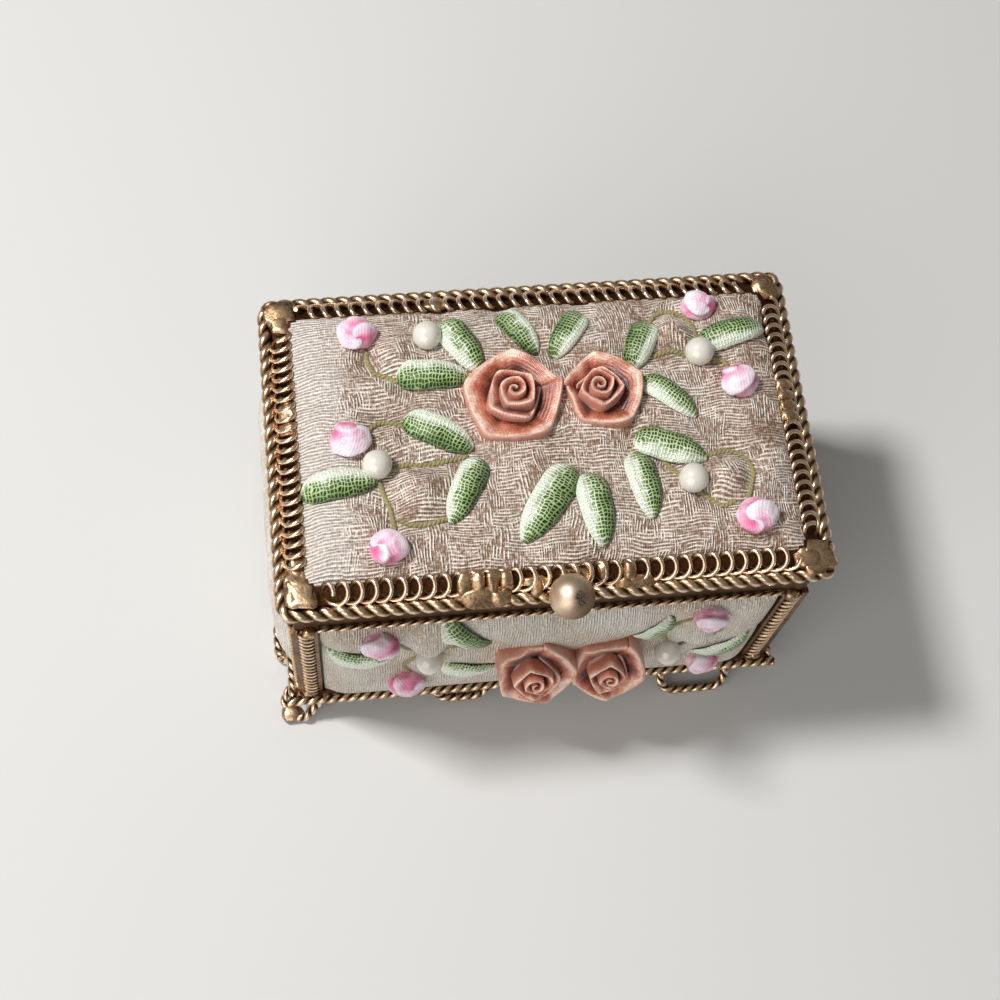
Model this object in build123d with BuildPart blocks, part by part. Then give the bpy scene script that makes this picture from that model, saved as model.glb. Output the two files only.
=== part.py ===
from build123d import *
import math
import os

os.makedirs("parts", exist_ok=True)

# A small trinket box: a gilt metal frame holding padded brocade panels, with ribbon
# roses, pearls and leaves sewn on, and a hinged lid. Millimetres, +Z up from the feet,
# the front looks along -Y.

# Body frame
post_half_width = 33.4
post_half_depth = 20.6
foot_height = 4.5
base_thickness = 0.8
base_lip = 0.2
core_height = 34.4
core_wall = 1.4
angle_sheet = 0.6
coil_rise = 0.6
rim_sheet = 0.7
rim_height = 6.7

# Corner posts
post_width = 3.3
post_lip = 0.5
corner_lip = 0.8
coil_pitch = 1.8
coil_groove = 0.4
coil_backing = 0.15

# Ropes and feet
top_rope_radius = 0.4
base_rope_radius = 0.7
foot_rope_radius = 0.65
rope_loop_sides = 8
foot_flat = 0.15
foot_splay = 3.2
foot_width = 10.0
foot_bottom_width = 8.6
foot_bend = 2.2
front_foot_inset = 10.2
side_foot_gap = 0.4
side_foot_width = 7.6
side_foot_bottom_width = 6.2
corner_foot_reach = 2.6
corner_foot_width = 5.2
corner_foot_bottom_width = 3.8
corner_foot_bend = 1.2
curl_width = 8.4
curl_bottom_width = 7.0
curl_bend = 1.6
curl_drop = 2.4
curl_splay = 1.9
curl_place_share = 0.3125

# Linings
lining_sheet = 0.6
lining_step = 0.4
floor_pad_height = 1.2
floor_pad_gap = 0.1

# Padded panels of the body
panel_gap = 0.1
panel_edge = 0.6
panel_shoulder = 1.0
front_crown = 3.0
side_crown = 3.9

# Lid
lid_overhang = 1.6
lid_depth_overhang = 1.5
lid_gap = 0.2
lid_sheet = 0.8
lid_rope_radius = 0.95
band_wall = 1.25
band_rise = 1.5
band_run = 2.4
band_sheet = 0.5
ring_pitch = 1.75
ring_radius = 1.4
ring_bore = 0.95
ring_rise = 0.45
ring_backing = 0.12
ring_end_gap = 0.9
lid_pad_gap = 0.45
lid_pad_edge = 1.5
lid_pad_shoulder = 2.2
lid_pad_crown = 5.4
lid_lining_height = 1.0
lid_lining_gap = 0.8

# Hinge
knuckle_radius = 0.95
knuckle_length = 5.6
knuckle_gap = 0.2
knuckle_count = 5
knuckle_web = 0.55
hinge_clearance = 0.1
hinge_leaf = 0.45
hinge_leaf_drop = 2.6
pin_radius = 0.45
pin_running_gap = 0.05
pin_head_radius = 0.75
pin_head_height = 0.35

# Knob
knob_radius = 2.8
knob_x = 0.6
knob_lean = 0.6
knob_lift = 5.5
stem_radius = 0.85
stem_x = 1.6

# Sewn ribbon work
rose_height = 3.3
front_rose_height = 4.4
rose_sink = 0.7
rose_groove = 0.5
rose_groove_depth = 1.1
rose_turn = 0.8
rose_half_turns = 3
leaf_thickness = 0.8
leaf_width = 3.8
pearl_radius = 1.7
pearl_sink = 0.5
bud_radius = 2.1
bud_height = 1.5
lid_rose_left_radius = 5.5
lid_rose_right_radius = 4.9
front_rose_radius = 5.0

# Places on the lid pad as shares of its half width and half depth, with a turn in degrees
lid_rose_shares = {"left": (-0.115, 0.265), "right": (0.235, 0.2)}
lid_leaf_shares = [
    (-0.31, 0.72, -60, 0.92),
    (-0.45, 0.45, -4, 0.96),
    (-0.44, 0.00, -30, 1.00),
    (-0.35, -0.45, -118, 1.00),
    (-0.87, -0.36, -6, 0.94),
    (-0.03, -0.58, -127, 1.22),
    (0.17, -0.64, -84, 1.02),
    (-0.07, 0.80, -58, 0.72),
    (0.15, 0.76, -126, 0.72),
    (0.46, 0.64, -115, 0.72),
    (0.55, 0.18, -42, 0.84),
    (0.86, 0.63, 21, 0.96),
    (0.53, -0.22, -21, 0.96),
    (0.38, -0.54, -82, 0.92),
]
lid_leaf_length = 9.4
lid_pearl_shares = [(-0.45, 0.76), (-0.70, -0.22), (0.68, 0.48), (0.58, -0.52)]
lid_bud_shares = [
    (-0.73, 0.80),
    (-0.80, 0.00),
    (-0.69, -0.80),
    (0.72, 0.82),
    (0.83, 0.24),
    (0.81, -0.80),
]

# Places on the front panel as shares of its half width and half height
front_rose_shares = {"left": (-0.075, 0.19), "right": (0.27, 0.19)}
front_leaf_shares = [
    (-0.81, 0.45, -12, 0.92),
    (-0.37, 0.68, -47, 0.98),
    (-0.36, -0.18, -20, 0.72),
    (0.47, 0.58, 60, 0.66),
    (0.82, -0.05, 40, 0.96),
]
front_leaf_length = 9.0
front_pearl_shares = [(-0.53, 0.26), (0.58, -0.08)]
front_bud_shares = [(-0.74, 0.78), (-0.62, -0.42), (0.70, 0.76), (0.74, -0.55)]

# Shares that shape a rose, a bud and a leaf
petal_count = 5
petal_offset_share = 0.52
petal_radius_share = 0.55
rose_waist_share = 0.45
rose_shoulder_share = 0.84
rose_slope_share = 0.86
rose_top_share = 0.56
bud_lobe_count = 3
bud_lobe_corners = 6
bud_offset_share = 0.42
bud_lobe_share = 0.62
leaf_tip_share = 0.45
ring_point_angles = (-90, -30, 30, 90)

# Heights worked out from the sizes above
base_top = foot_height + base_thickness
core_top = base_top + core_height
rim_bottom = core_top - rim_height
floor_top = base_top + core_wall
lid_bottom = core_top + lid_gap
lid_top = lid_bottom + lid_sheet

# Half sizes worked out from the sizes above
plate_half_width = post_half_width - coil_rise
plate_half_depth = post_half_depth - coil_rise
core_half_width = plate_half_width - angle_sheet
core_half_depth = plate_half_depth - angle_sheet
rim_half_width = core_half_width + rim_sheet
rim_half_depth = core_half_depth + rim_sheet
base_half_width = post_half_width + base_lip
base_half_depth = post_half_depth + base_lip
inner_half_width = core_half_width - core_wall
inner_half_depth = core_half_depth - core_wall
lid_half_width = post_half_width + lid_overhang
lid_half_depth = post_half_depth + lid_depth_overhang
lid_plate_half_width = lid_half_width - lid_rope_radius
lid_plate_half_depth = lid_half_depth - lid_rope_radius
band_half_width = lid_plate_half_width - lid_rope_radius
band_half_depth = lid_plate_half_depth - lid_rope_radius
band_inner_half_width = band_half_width - band_run
band_inner_half_depth = band_half_depth - band_run
band_slope = band_rise / band_run
band_angle = math.degrees(math.atan(band_run / band_rise))
lid_pad_half_width = band_inner_half_width - lid_pad_gap
lid_pad_half_depth = band_inner_half_depth - lid_pad_gap

# The origin is under the middle of everything, so the frame stands a little behind it
front_reach = core_half_depth + front_crown + front_rose_height
back_reach = base_half_depth - foot_rope_radius + foot_splay + foot_rope_radius
box_middle = (front_reach - back_reach) / 2


def level(height):
    """The plane across the box at a height."""
    return Plane(origin=(0, box_middle, height))


def face_plane(side, distance, height=0):
    """A plane on one side of the box, seen from outside: X to the right and Y up."""
    normals = {"front": (0, -1, 0), "back": (0, 1, 0), "left": (-1, 0, 0), "right": (1, 0, 0)}
    normal = Vector(normals[side])
    along = Vector(0, 0, 1).cross(normal)
    origin = Vector(0, box_middle, height) + normal * distance
    return Plane(origin=origin, x_dir=along, z_dir=normal)


def by_side(side, width_value, depth_value):
    """The value for the front and back, or the one for the two ends."""
    return depth_value if side in ("front", "back") else width_value


sides = ("front", "right", "back", "left")
corners = {
    "front_left": (-1, -1),
    "front_right": (1, -1),
    "back_right": (1, 1),
    "back_left": (-1, 1),
}


def cushion(base, half_length, half_width, edge, shoulder, crown):
    """A padded piece: drawn-in sides, round shoulders and a crown both ways."""
    with BuildPart() as pad:
        with BuildSketch(base):
            Rectangle(2 * half_length, 2 * half_width)
        extrude(amount=crown)
        for along, half in ((base.x_dir, half_length), (base.y_dir, half_width)):
            view = Plane(origin=base.origin, x_dir=along, z_dir=along.cross(base.z_dir))
            with BuildSketch(view):
                with BuildLine():
                    top_left = (shoulder - half, edge + shoulder)
                    top_right = (half - shoulder, edge + shoulder)
                    Polyline((-half, edge), (-half, 0), (half, 0), (half, edge))
                    RadiusArc((-half, edge), top_left, shoulder)
                    ThreePointArc(top_left, (0, crown), top_right)
                    RadiusArc(top_right, (half, edge), shoulder)
                make_face()
            extrude(amount=2 * half_length, both=True, mode=Mode.INTERSECT)
    return pad.part


def crown_height(place, half, edge, shoulder, crown):
    """Height of a cushion's crown at a distance from its middle."""
    run = half - shoulder
    rise = crown - edge - shoulder
    radius = (run**2 + rise**2) / (2 * rise)
    return crown - radius + math.sqrt(radius**2 - min(abs(place), run) ** 2)


class Bed:
    """A cushion that ribbon work is sewn on, with its places given as shares."""

    def __init__(self, base, half_length, half_width, edge, shoulder, crown):
        self.base = base
        self.half_length = half_length
        self.half_width = half_width
        self.sizes = (edge, shoulder, crown)
        self.pad = cushion(base, half_length, half_width, edge, shoulder, crown)

    def seat(self, across_share, up_share, turn=0, lift=0):
        """A plane on the cushion's face at a place, raised or sunk by lift."""
        across = across_share * self.half_length
        up = up_share * self.half_width
        height = min(
            crown_height(across, self.half_length, *self.sizes),
            crown_height(up, self.half_width, *self.sizes),
        )
        origin = self.base.from_local_coords(Vector(across, up, height + lift))
        angle = math.radians(turn)
        along = self.base.x_dir * math.cos(angle) + self.base.y_dir * math.sin(angle)
        return Plane(origin=origin, x_dir=along, z_dir=self.base.z_dir)


# Base plate, core box and rim band
with BuildPart() as base_plate:
    with BuildSketch(level(foot_height)):
        Rectangle(2 * base_half_width, 2 * base_half_depth)
    extrude(amount=base_thickness)
base_plate.part.label = "base_plate"
export_step(base_plate.part, "parts/base_plate.step")

with BuildPart() as box_core:
    with BuildSketch(level(base_top)):
        Rectangle(2 * core_half_width, 2 * core_half_depth)
    extrude(amount=core_height)
    mouth = box_core.faces().sort_by(Axis.Z)[-1]
    offset(amount=-core_wall, openings=mouth)
box_core.part.label = "box_core"
export_step(box_core.part, "parts/box_core.step")

with BuildPart() as rim_band:
    with BuildSketch(level(rim_bottom)):
        Rectangle(2 * rim_half_width, 2 * rim_half_depth)
        Rectangle(2 * core_half_width, 2 * core_half_depth, mode=Mode.SUBTRACT)
    extrude(amount=rim_height)
rim_band.part.label = "rim_band"
export_step(rim_band.part, "parts/rim_band.step")

# Corner posts: bent angle strips with raised edges, and the wire coils laid in them
post_height = rim_bottom - base_top
coil_count = round(post_height / coil_pitch)
coil_step = post_height / coil_count
coil_width = post_width - corner_lip - post_lip

for corner, (side_x, side_y) in corners.items():
    leg = [
        (corner_lip, 0),
        (corner_lip, coil_rise),
        (post_width - post_lip, coil_rise),
        (post_width - post_lip, 0),
        (post_width, 0),
        (post_width, coil_rise + angle_sheet),
    ]
    other_leg = [(depth, along) for along, depth in reversed(leg)]
    heel = (coil_rise + angle_sheet, coil_rise + angle_sheet)
    outline = [(0, 0)] + leg + [heel] + other_leg
    with BuildPart() as corner_post:
        with BuildSketch(level(base_top)):
            with BuildLine():
                Polyline(
                    [
                        (side_x * (post_half_width - along), side_y * (post_half_depth - depth))
                        for along, depth in outline
                    ],
                    close=True,
                )
            make_face()
        extrude(amount=post_height)
    corner_post.part.label = f"corner_post_{corner}"
    export_step(corner_post.part, f"parts/corner_post_{corner}.step")

    across_side = "front" if side_y < 0 else "back"
    end_side = "left" if side_x < 0 else "right"
    with BuildPart() as corner_coils:
        for side, half in ((across_side, post_half_width), (end_side, post_half_depth)):
            view = face_plane(side, by_side(side, post_half_width, post_half_depth), base_top)
            outward = side_x if side in ("front", "back") else side_y
            to_corner = outward * view.x_dir.dot(Vector(abs(view.x_dir.X), abs(view.x_dir.Y), 0))
            middle = to_corner * (half - corner_lip - coil_width / 2)
            ridge = [(-coil_rise, 0)]
            for turn in range(coil_count):
                low = turn * coil_step
                ridge += [
                    (-coil_rise + coil_backing, low),
                    (0, low + coil_groove / 2),
                    (0, low + coil_step - coil_groove / 2),
                ]
            ridge += [(-coil_rise + coil_backing, post_height), (-coil_rise, post_height)]
            origin = view.from_local_coords(Vector(middle, 0, 0))
            profile = Plane(origin=origin, x_dir=view.z_dir, z_dir=view.z_dir.cross(view.y_dir))
            with BuildSketch(profile):
                with BuildLine():
                    Polyline(ridge, close=True)
                make_face()
            extrude(amount=coil_width / 2, both=True)
    corner_coils.part.label = f"corner_coils_{corner}"
    export_step(corner_coils.part, f"parts/corner_coils_{corner}.step")

# Padded panels between the posts, and the ropes above and below them
beds = {}
for side in sides:
    half_run = by_side(side, post_half_depth, post_half_width)
    core_half = by_side(side, core_half_width, core_half_depth)
    half_length = half_run - post_width - panel_gap
    half_height = post_height / 2 - panel_gap
    crown = by_side(side, side_crown, front_crown)
    base = face_plane(side, core_half, base_top + post_height / 2)
    beds[side] = Bed(base, half_length, half_height, panel_edge, panel_shoulder, crown)
    panel = beds[side].pad
    panel.label = f"panel_{side}"
    export_step(panel, f"parts/panel_{side}.step")

    rim_half = by_side(side, rim_half_width, rim_half_depth)
    run = face_plane(side, rim_half + top_rope_radius, rim_bottom + top_rope_radius)
    start = run.from_local_coords(Vector(-half_length, 0, 0))
    with BuildPart() as top_rope:
        with BuildSketch(Plane(origin=start, x_dir=run.z_dir, z_dir=run.x_dir)):
            Circle(top_rope_radius)
        extrude(amount=2 * half_length)
    top_rope.part.label = f"top_rope_{side}"
    export_step(top_rope.part, f"parts/top_rope_{side}.step")

    plate_half = by_side(side, base_half_width, base_half_depth)
    plate_run = by_side(side, base_half_depth, base_half_width + 2 * base_rope_radius)
    run = face_plane(side, plate_half + base_rope_radius, foot_height + base_thickness / 2)
    start = run.from_local_coords(Vector(-plate_run, 0, 0))
    with BuildPart() as base_rope:
        with BuildSketch(Plane(origin=start, x_dir=run.z_dir, z_dir=run.x_dir)):
            Circle(base_rope_radius)
        extrude(amount=2 * plate_run)
    base_rope.part.label = f"base_rope_{side}"
    export_step(base_rope.part, f"parts/base_rope_{side}.step")


def rope_loop(top, width, bottom_width, drop, splay, bend, radius):
    """A loop of rope that hangs from the base plate and leans outwards."""
    slant = math.hypot(drop, splay)
    down = Vector(top.z_dir) * (splay / slant) - Vector(0, 0, drop / slant)
    hang = Plane(origin=top.origin, x_dir=top.x_dir, z_dir=down.cross(top.x_dir))
    lean = -1 if hang.y_dir.dot(down) < 0 else 1
    head = -lean * radius * splay / drop
    with BuildPart() as loop:
        with BuildLine(hang) as route:
            FilletPolyline(
                (-width / 2, head),
                (-bottom_width / 2, lean * slant),
                (bottom_width / 2, lean * slant),
                (width / 2, head),
                radius=bend,
            )
        with BuildSketch(Plane(origin=route.line @ 0, z_dir=route.line % 0)):
            RegularPolygon(radius, rope_loop_sides, rotation=180 / rope_loop_sides)
        sweep()
        split(bisect_by=Plane.XY.offset(foot_height), keep=Keep.BOTTOM)
        split(bisect_by=Plane.XY, keep=Keep.TOP)
    return loop.part


foot_drop = foot_height - foot_rope_radius + foot_flat
front_foot_place = base_half_width - front_foot_inset
curl_place = base_half_width * curl_place_share

# The end feet stand clear of the corner feet, whose ropes end this far from the corner
corner_foot_run = 2 * foot_rope_radius + corner_foot_width / math.sqrt(2)
side_foot_run = side_foot_gap + foot_rope_radius + side_foot_width / 2
side_foot_place = base_half_depth - corner_foot_run - side_foot_run

feet = {
    "foot_front_right": ("front", front_foot_place, foot_width, foot_bottom_width),
    "foot_left": ("left", side_foot_place, side_foot_width, side_foot_bottom_width),
    "foot_back_left": ("back", front_foot_place, foot_width, foot_bottom_width),
    "foot_right": ("right", side_foot_place, side_foot_width, side_foot_bottom_width),
}
for name, (side, place, width, bottom_width) in feet.items():
    plate_half = by_side(side, base_half_width, base_half_depth)
    hook = face_plane(side, plate_half - foot_rope_radius, foot_height)
    top = Plane(
        origin=hook.from_local_coords(Vector(place, 0, 0)), x_dir=hook.x_dir, z_dir=hook.z_dir
    )
    foot = rope_loop(
        top, width, bottom_width, foot_drop, foot_splay, foot_bend, foot_rope_radius
    )
    foot.label = name
    export_step(foot, f"parts/{name}.step")

for name, (side_x, side_y) in {"foot_front_left": (-1, -1), "foot_back_right": (1, 1)}.items():
    outward = Vector(side_x, side_y, 0).normalized()
    inset = corner_foot_width / 2
    origin = Vector(
        side_x * (base_half_width - foot_rope_radius - inset / math.sqrt(2)),
        box_middle + side_y * (base_half_depth - foot_rope_radius - inset / math.sqrt(2)),
        foot_height,
    )
    top = Plane(origin=origin, x_dir=Vector(0, 0, 1).cross(outward), z_dir=outward)
    foot = rope_loop(
        top,
        corner_foot_width,
        corner_foot_bottom_width,
        foot_drop,
        corner_foot_reach + inset,
        corner_foot_bend,
        foot_rope_radius,
    )
    foot.label = name
    export_step(foot, f"parts/{name}.step")

for side in ("front", "back"):
    hook = face_plane(side, base_half_depth - foot_rope_radius, foot_height)
    top = Plane(
        origin=hook.from_local_coords(Vector(-curl_place, 0, 0)), x_dir=hook.x_dir, z_dir=hook.z_dir
    )
    curl = rope_loop(
        top, curl_width, curl_bottom_width, curl_drop, curl_splay, curl_bend, foot_rope_radius
    )
    curl.label = f"rope_curl_{side}"
    export_step(curl, f"parts/rope_curl_{side}.step")

# Linings inside the box
with BuildPart() as wall_lining:
    with BuildSketch(level(floor_top)):
        Rectangle(2 * inner_half_width, 2 * inner_half_depth)
        Rectangle(
            2 * (inner_half_width - lining_sheet),
            2 * (inner_half_depth - lining_sheet),
            mode=Mode.SUBTRACT,
        )
    extrude(amount=core_top - lining_step - floor_top)
wall_lining.part.label = "wall_lining"
export_step(wall_lining.part, "parts/wall_lining.step")

with BuildPart() as floor_pad:
    with BuildSketch(level(floor_top)):
        Rectangle(
            2 * (inner_half_width - lining_sheet - floor_pad_gap),
            2 * (inner_half_depth - lining_sheet - floor_pad_gap),
        )
    extrude(amount=floor_pad_height)
    fillet(floor_pad.faces().sort_by(Axis.Z)[-1].edges(), radius=floor_pad_height / 2)
floor_pad.part.label = "floor_pad"
export_step(floor_pad.part, "parts/floor_pad.step")

# Hinge: knuckles on the rim band and under the lid plate, and the pin through them
hinge_y = box_middle + rim_half_depth + knuckle_radius
hinge_z = lid_bottom - knuckle_radius - hinge_clearance
hinge_length = knuckle_count * knuckle_length + (knuckle_count - 1) * knuckle_gap
pin_bore = pin_radius + pin_running_gap
knuckle_pitch = knuckle_length + knuckle_gap
rim_back = box_middle + rim_half_depth


def knuckle_profile(number):
    """The plane across one knuckle, with X to the back and Y up."""
    start = number * knuckle_pitch - hinge_length / 2
    return Plane(origin=(start, hinge_y, hinge_z), x_dir=(0, 1, 0), z_dir=(1, 0, 0))


with BuildPart() as body_knuckles:
    for number in range(0, knuckle_count, 2):
        with BuildSketch(knuckle_profile(number)):
            Circle(knuckle_radius)
            with Locations((-knuckle_radius, -hinge_leaf_drop)):
                Rectangle(hinge_leaf, hinge_leaf_drop, align=(Align.MIN, Align.MIN))
            Circle(pin_bore, mode=Mode.SUBTRACT)
        extrude(amount=knuckle_length)
body_knuckles.part.label = "body_knuckles"
export_step(body_knuckles.part, "parts/body_knuckles.step")

with BuildPart() as lid_knuckles:
    for number in range(1, knuckle_count, 2):
        with BuildSketch(knuckle_profile(number)):
            Circle(knuckle_radius)
            with Locations((-knuckle_web, 0)):
                Rectangle(
                    knuckle_web, knuckle_radius + hinge_clearance, align=(Align.MIN, Align.MIN)
                )
            Circle(pin_bore, mode=Mode.SUBTRACT)
        extrude(amount=knuckle_length)
lid_knuckles.part.label = "lid_knuckles"
export_step(lid_knuckles.part, "parts/lid_knuckles.step")

with BuildPart() as hinge_pin:
    head_start = -hinge_length / 2 - knuckle_gap / 2 - pin_head_height
    for start, radius, length in (
        (head_start, pin_radius, 2 * -head_start),
        (head_start, pin_head_radius, pin_head_height),
        (-head_start - pin_head_height, pin_head_radius, pin_head_height),
    ):
        with BuildSketch(Plane(origin=(start, hinge_y, hinge_z), x_dir=(0, 1, 0), z_dir=(1, 0, 0))):
            Circle(radius)
        extrude(amount=length)
hinge_pin.part.label = "hinge_pin"
export_step(hinge_pin.part, "parts/hinge_pin.step")

# Lid plate, slanted frame band, rope edge and the rings that run round the band
with BuildPart() as lid_plate:
    with BuildSketch(level(lid_bottom)):
        Rectangle(2 * lid_plate_half_width, 2 * lid_plate_half_depth)
    extrude(amount=lid_sheet)
lid_plate.part.label = "lid_plate"
export_step(lid_plate.part, "parts/lid_plate.step")

with BuildPart() as band_block:
    with BuildSketch(level(lid_top)):
        Rectangle(2 * band_half_width, 2 * band_half_depth)
    extrude(amount=band_wall)
    extrude(band_block.faces().sort_by(Axis.Z)[-1], amount=band_rise, taper=band_angle)

with BuildPart() as lid_frame:
    add(band_block.part)
    with BuildSketch(level(lid_top)):
        Rectangle(2 * (band_half_width - band_sheet), 2 * (band_half_depth - band_sheet))
    extrude(amount=band_wall - band_sheet + band_sheet * band_slope, mode=Mode.SUBTRACT)
    with BuildSketch(level(lid_top + band_wall - band_sheet + band_sheet * band_slope)):
        Rectangle(2 * (band_half_width - band_sheet), 2 * (band_half_depth - band_sheet))
    extrude(
        amount=(band_run - band_sheet) * band_slope, taper=band_angle, mode=Mode.SUBTRACT
    )
    with BuildSketch(level(lid_top)):
        Rectangle(2 * band_inner_half_width, 2 * band_inner_half_depth)
    extrude(amount=2 * (band_wall + band_rise), mode=Mode.SUBTRACT)
lid_frame.part.label = "lid_frame"
export_step(lid_frame.part, "parts/lid_frame.step")

with BuildPart() as lid_rope:
    rope_level = lid_top + lid_rope_radius
    with BuildLine() as rope_route:
        Polyline(
            (0, box_middle - lid_plate_half_depth, rope_level),
            (lid_plate_half_width, box_middle - lid_plate_half_depth, rope_level),
            (lid_plate_half_width, box_middle + lid_plate_half_depth, rope_level),
            (-lid_plate_half_width, box_middle + lid_plate_half_depth, rope_level),
            (-lid_plate_half_width, box_middle - lid_plate_half_depth, rope_level),
            close=True,
        )
    with BuildSketch(Plane(origin=rope_route.line @ 0, z_dir=rope_route.line % 0)):
        Circle(lid_rope_radius)
    sweep(transition=Transition.RIGHT)
lid_rope.part.label = "lid_rope"
export_step(lid_rope.part, "parts/lid_rope.step")

ring_beds = {}
for side in sides:
    view = face_plane(side, by_side(side, band_half_width, band_half_depth), lid_top + band_wall)
    slope_up = (Vector(0, 0, band_rise) - Vector(view.z_dir) * band_run).normalized()
    slant = Plane(
        origin=view.origin + slope_up * (math.hypot(band_run, band_rise) / 2),
        x_dir=view.x_dir,
        z_dir=Vector(view.x_dir).cross(slope_up),
    )
    chain_half = by_side(side, band_inner_half_depth, band_inner_half_width) - ring_end_gap
    ring_count = int((2 * chain_half - ring_radius) / ring_pitch)
    first = -chain_half + (2 * chain_half - ring_radius - ring_pitch * (ring_count - 1)) / 2
    with BuildPart() as ring_bed:
        with BuildSketch(slant):
            Rectangle(2 * chain_half, 2 * ring_radius)
        extrude(amount=ring_rise)
    ring_beds[side] = ring_bed.part
    with BuildPart() as lid_rings:
        with BuildSketch(slant):
            Rectangle(2 * chain_half, 2 * ring_radius)
        extrude(amount=ring_backing)
        with BuildSketch(slant):
            for number in range(ring_count):
                place = first + number * ring_pitch
                outer = [
                    (
                        place + ring_radius * math.cos(math.radians(angle)),
                        ring_radius * math.sin(math.radians(angle)),
                    )
                    for angle in ring_point_angles
                ]
                inner = [
                    (
                        place + ring_bore * math.cos(math.radians(angle)),
                        ring_bore * math.sin(math.radians(angle)),
                    )
                    for angle in reversed(ring_point_angles)
                ]
                with BuildLine():
                    Polyline(outer + inner, close=True)
                make_face()
        extrude(amount=ring_rise)
    lid_rings.part.label = f"lid_rings_{side}"
    export_step(lid_rings.part, f"parts/lid_rings_{side}.step")

# Lid pad above the plate, and the lining below it
lid_bed = Bed(
    level(lid_top),
    lid_pad_half_width,
    lid_pad_half_depth,
    lid_pad_edge,
    lid_pad_shoulder,
    lid_pad_crown,
)
lid_pad = lid_bed.pad
lid_pad.label = "lid_pad"
export_step(lid_pad, "parts/lid_pad.step")

with BuildPart() as lid_lining:
    with BuildSketch(level(lid_bottom)):
        Rectangle(
            2 * (inner_half_width - lining_sheet - lid_lining_gap),
            2 * (inner_half_depth - lining_sheet - lid_lining_gap),
        )
    extrude(amount=-lid_lining_height)
    fillet(lid_lining.faces().sort_by(Axis.Z)[0].edges(), radius=lid_lining_height / 2)
lid_lining.part.label = "lid_lining"
export_step(lid_lining.part, "parts/lid_lining.step")

# Ball knob on a short stem that leans out from the front of the frame band
knob_centre = Vector(
    knob_x,
    box_middle - lid_plate_half_depth - lid_rope_radius - knob_lean,
    lid_bottom + knob_lift,
)
with BuildPart() as knob_ball:
    with BuildSketch(Plane(origin=knob_centre, x_dir=(1, 0, 0), z_dir=(0, -1, 0))):
        Circle(knob_radius)
        with Locations((-knob_radius, 0)):
            Rectangle(2 * knob_radius, 2 * knob_radius, mode=Mode.SUBTRACT)
    revolve(axis=Axis(knob_centre, (0, 0, 1)))
knob_ball.part.label = "knob_ball"
export_step(knob_ball.part, "parts/knob_ball.step")

stem_foot = Vector(
    stem_x,
    box_middle - band_half_depth + band_run / 2,
    lid_top + band_wall + band_rise / 2 - band_sheet,
)
with BuildPart() as knob_stem:
    with BuildSketch(Plane(origin=stem_foot, z_dir=knob_centre - stem_foot)):
        Circle(stem_radius)
    extrude(amount=(knob_centre - stem_foot).length)
    add(knob_ball.part, mode=Mode.SUBTRACT)
    add(band_block.part, mode=Mode.SUBTRACT)
    add(ring_beds["front"], mode=Mode.SUBTRACT)
    add(lid_rope.part, mode=Mode.SUBTRACT)
    add(lid_pad, mode=Mode.SUBTRACT)
knob_stem.part.label = "knob_stem"
export_step(knob_stem.part, "parts/knob_stem.step")


def ribbon_rose(bed, shares, radius, rise):
    """A wound ribbon rose: a lobed dome with the coiled middle cut as a spiral."""
    base = bed.seat(*shares, lift=-rose_sink)
    height = rise + rose_sink
    with BuildPart() as rose:
        with BuildSketch(base):
            with PolarLocations(radius * petal_offset_share, petal_count):
                Circle(radius * petal_radius_share)
        extrude(amount=height)
        with BuildSketch(Plane(origin=base.origin, x_dir=base.x_dir, z_dir=-base.y_dir)):
            with BuildLine():
                rim = radius * (petal_offset_share + petal_radius_share)
                Polyline(
                    (0, 0),
                    (rim, 0),
                    (rim, height * rose_waist_share),
                    (radius * rose_shoulder_share, height * rose_slope_share),
                    (radius * rose_top_share, height),
                    (0, height),
                    close=True,
                )
            make_face()
        revolve(axis=Axis(base.origin, base.z_dir), mode=Mode.INTERSECT)
        with BuildSketch(base.offset(height)):
            with BuildLine():
                reach = rose_turn
                left = (-reach / 2, 0)
                for half_turn in range(rose_half_turns):
                    way = 1 if half_turn % 2 == 0 else -1
                    right = (left[0] + way * 2 * reach, 0)
                    ThreePointArc(left, ((left[0] + right[0]) / 2, way * reach), right)
                    left = right
                    reach += rose_turn / 2
            trace(line_width=rose_groove)
        extrude(amount=-rose_groove_depth, mode=Mode.SUBTRACT)
        add(bed.pad, mode=Mode.SUBTRACT)
    return rose.part


def ribbon_leaf(bed, across_share, up_share, turn, length, keep_clear):
    """A flat ribbon leaf with cut corners that lies on the cushion."""
    half = length / 2
    side = leaf_width / 2
    tip = side * leaf_tip_share
    with BuildPart() as leaf:
        with BuildSketch(bed.seat(across_share, up_share, turn, -leaf_thickness)):
            with BuildLine():
                Polyline(
                    (-half, -tip),
                    (-half + side, -side),
                    (half - side, -side),
                    (half, -tip),
                    (half, tip),
                    (half - side, side),
                    (-half + side, side),
                    (-half, tip),
                    close=True,
                )
            make_face()
        extrude(amount=2 * leaf_thickness)
        add(bed.pad, mode=Mode.SUBTRACT)
        for neighbour in keep_clear:
            add(neighbour, mode=Mode.SUBTRACT)
    return leaf.part


def ribbon_bud(bed, across_share, up_share):
    """A folded ribbon bud of three lobes."""
    with BuildPart() as bud:
        with BuildSketch(bed.seat(across_share, up_share, 0, -bud_height)):
            with PolarLocations(bud_radius * bud_offset_share, bud_lobe_count):
                RegularPolygon(bud_radius * bud_lobe_share, bud_lobe_corners)
        extrude(amount=2 * bud_height)
        add(bed.pad, mode=Mode.SUBTRACT)
    return bud.part


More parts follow.
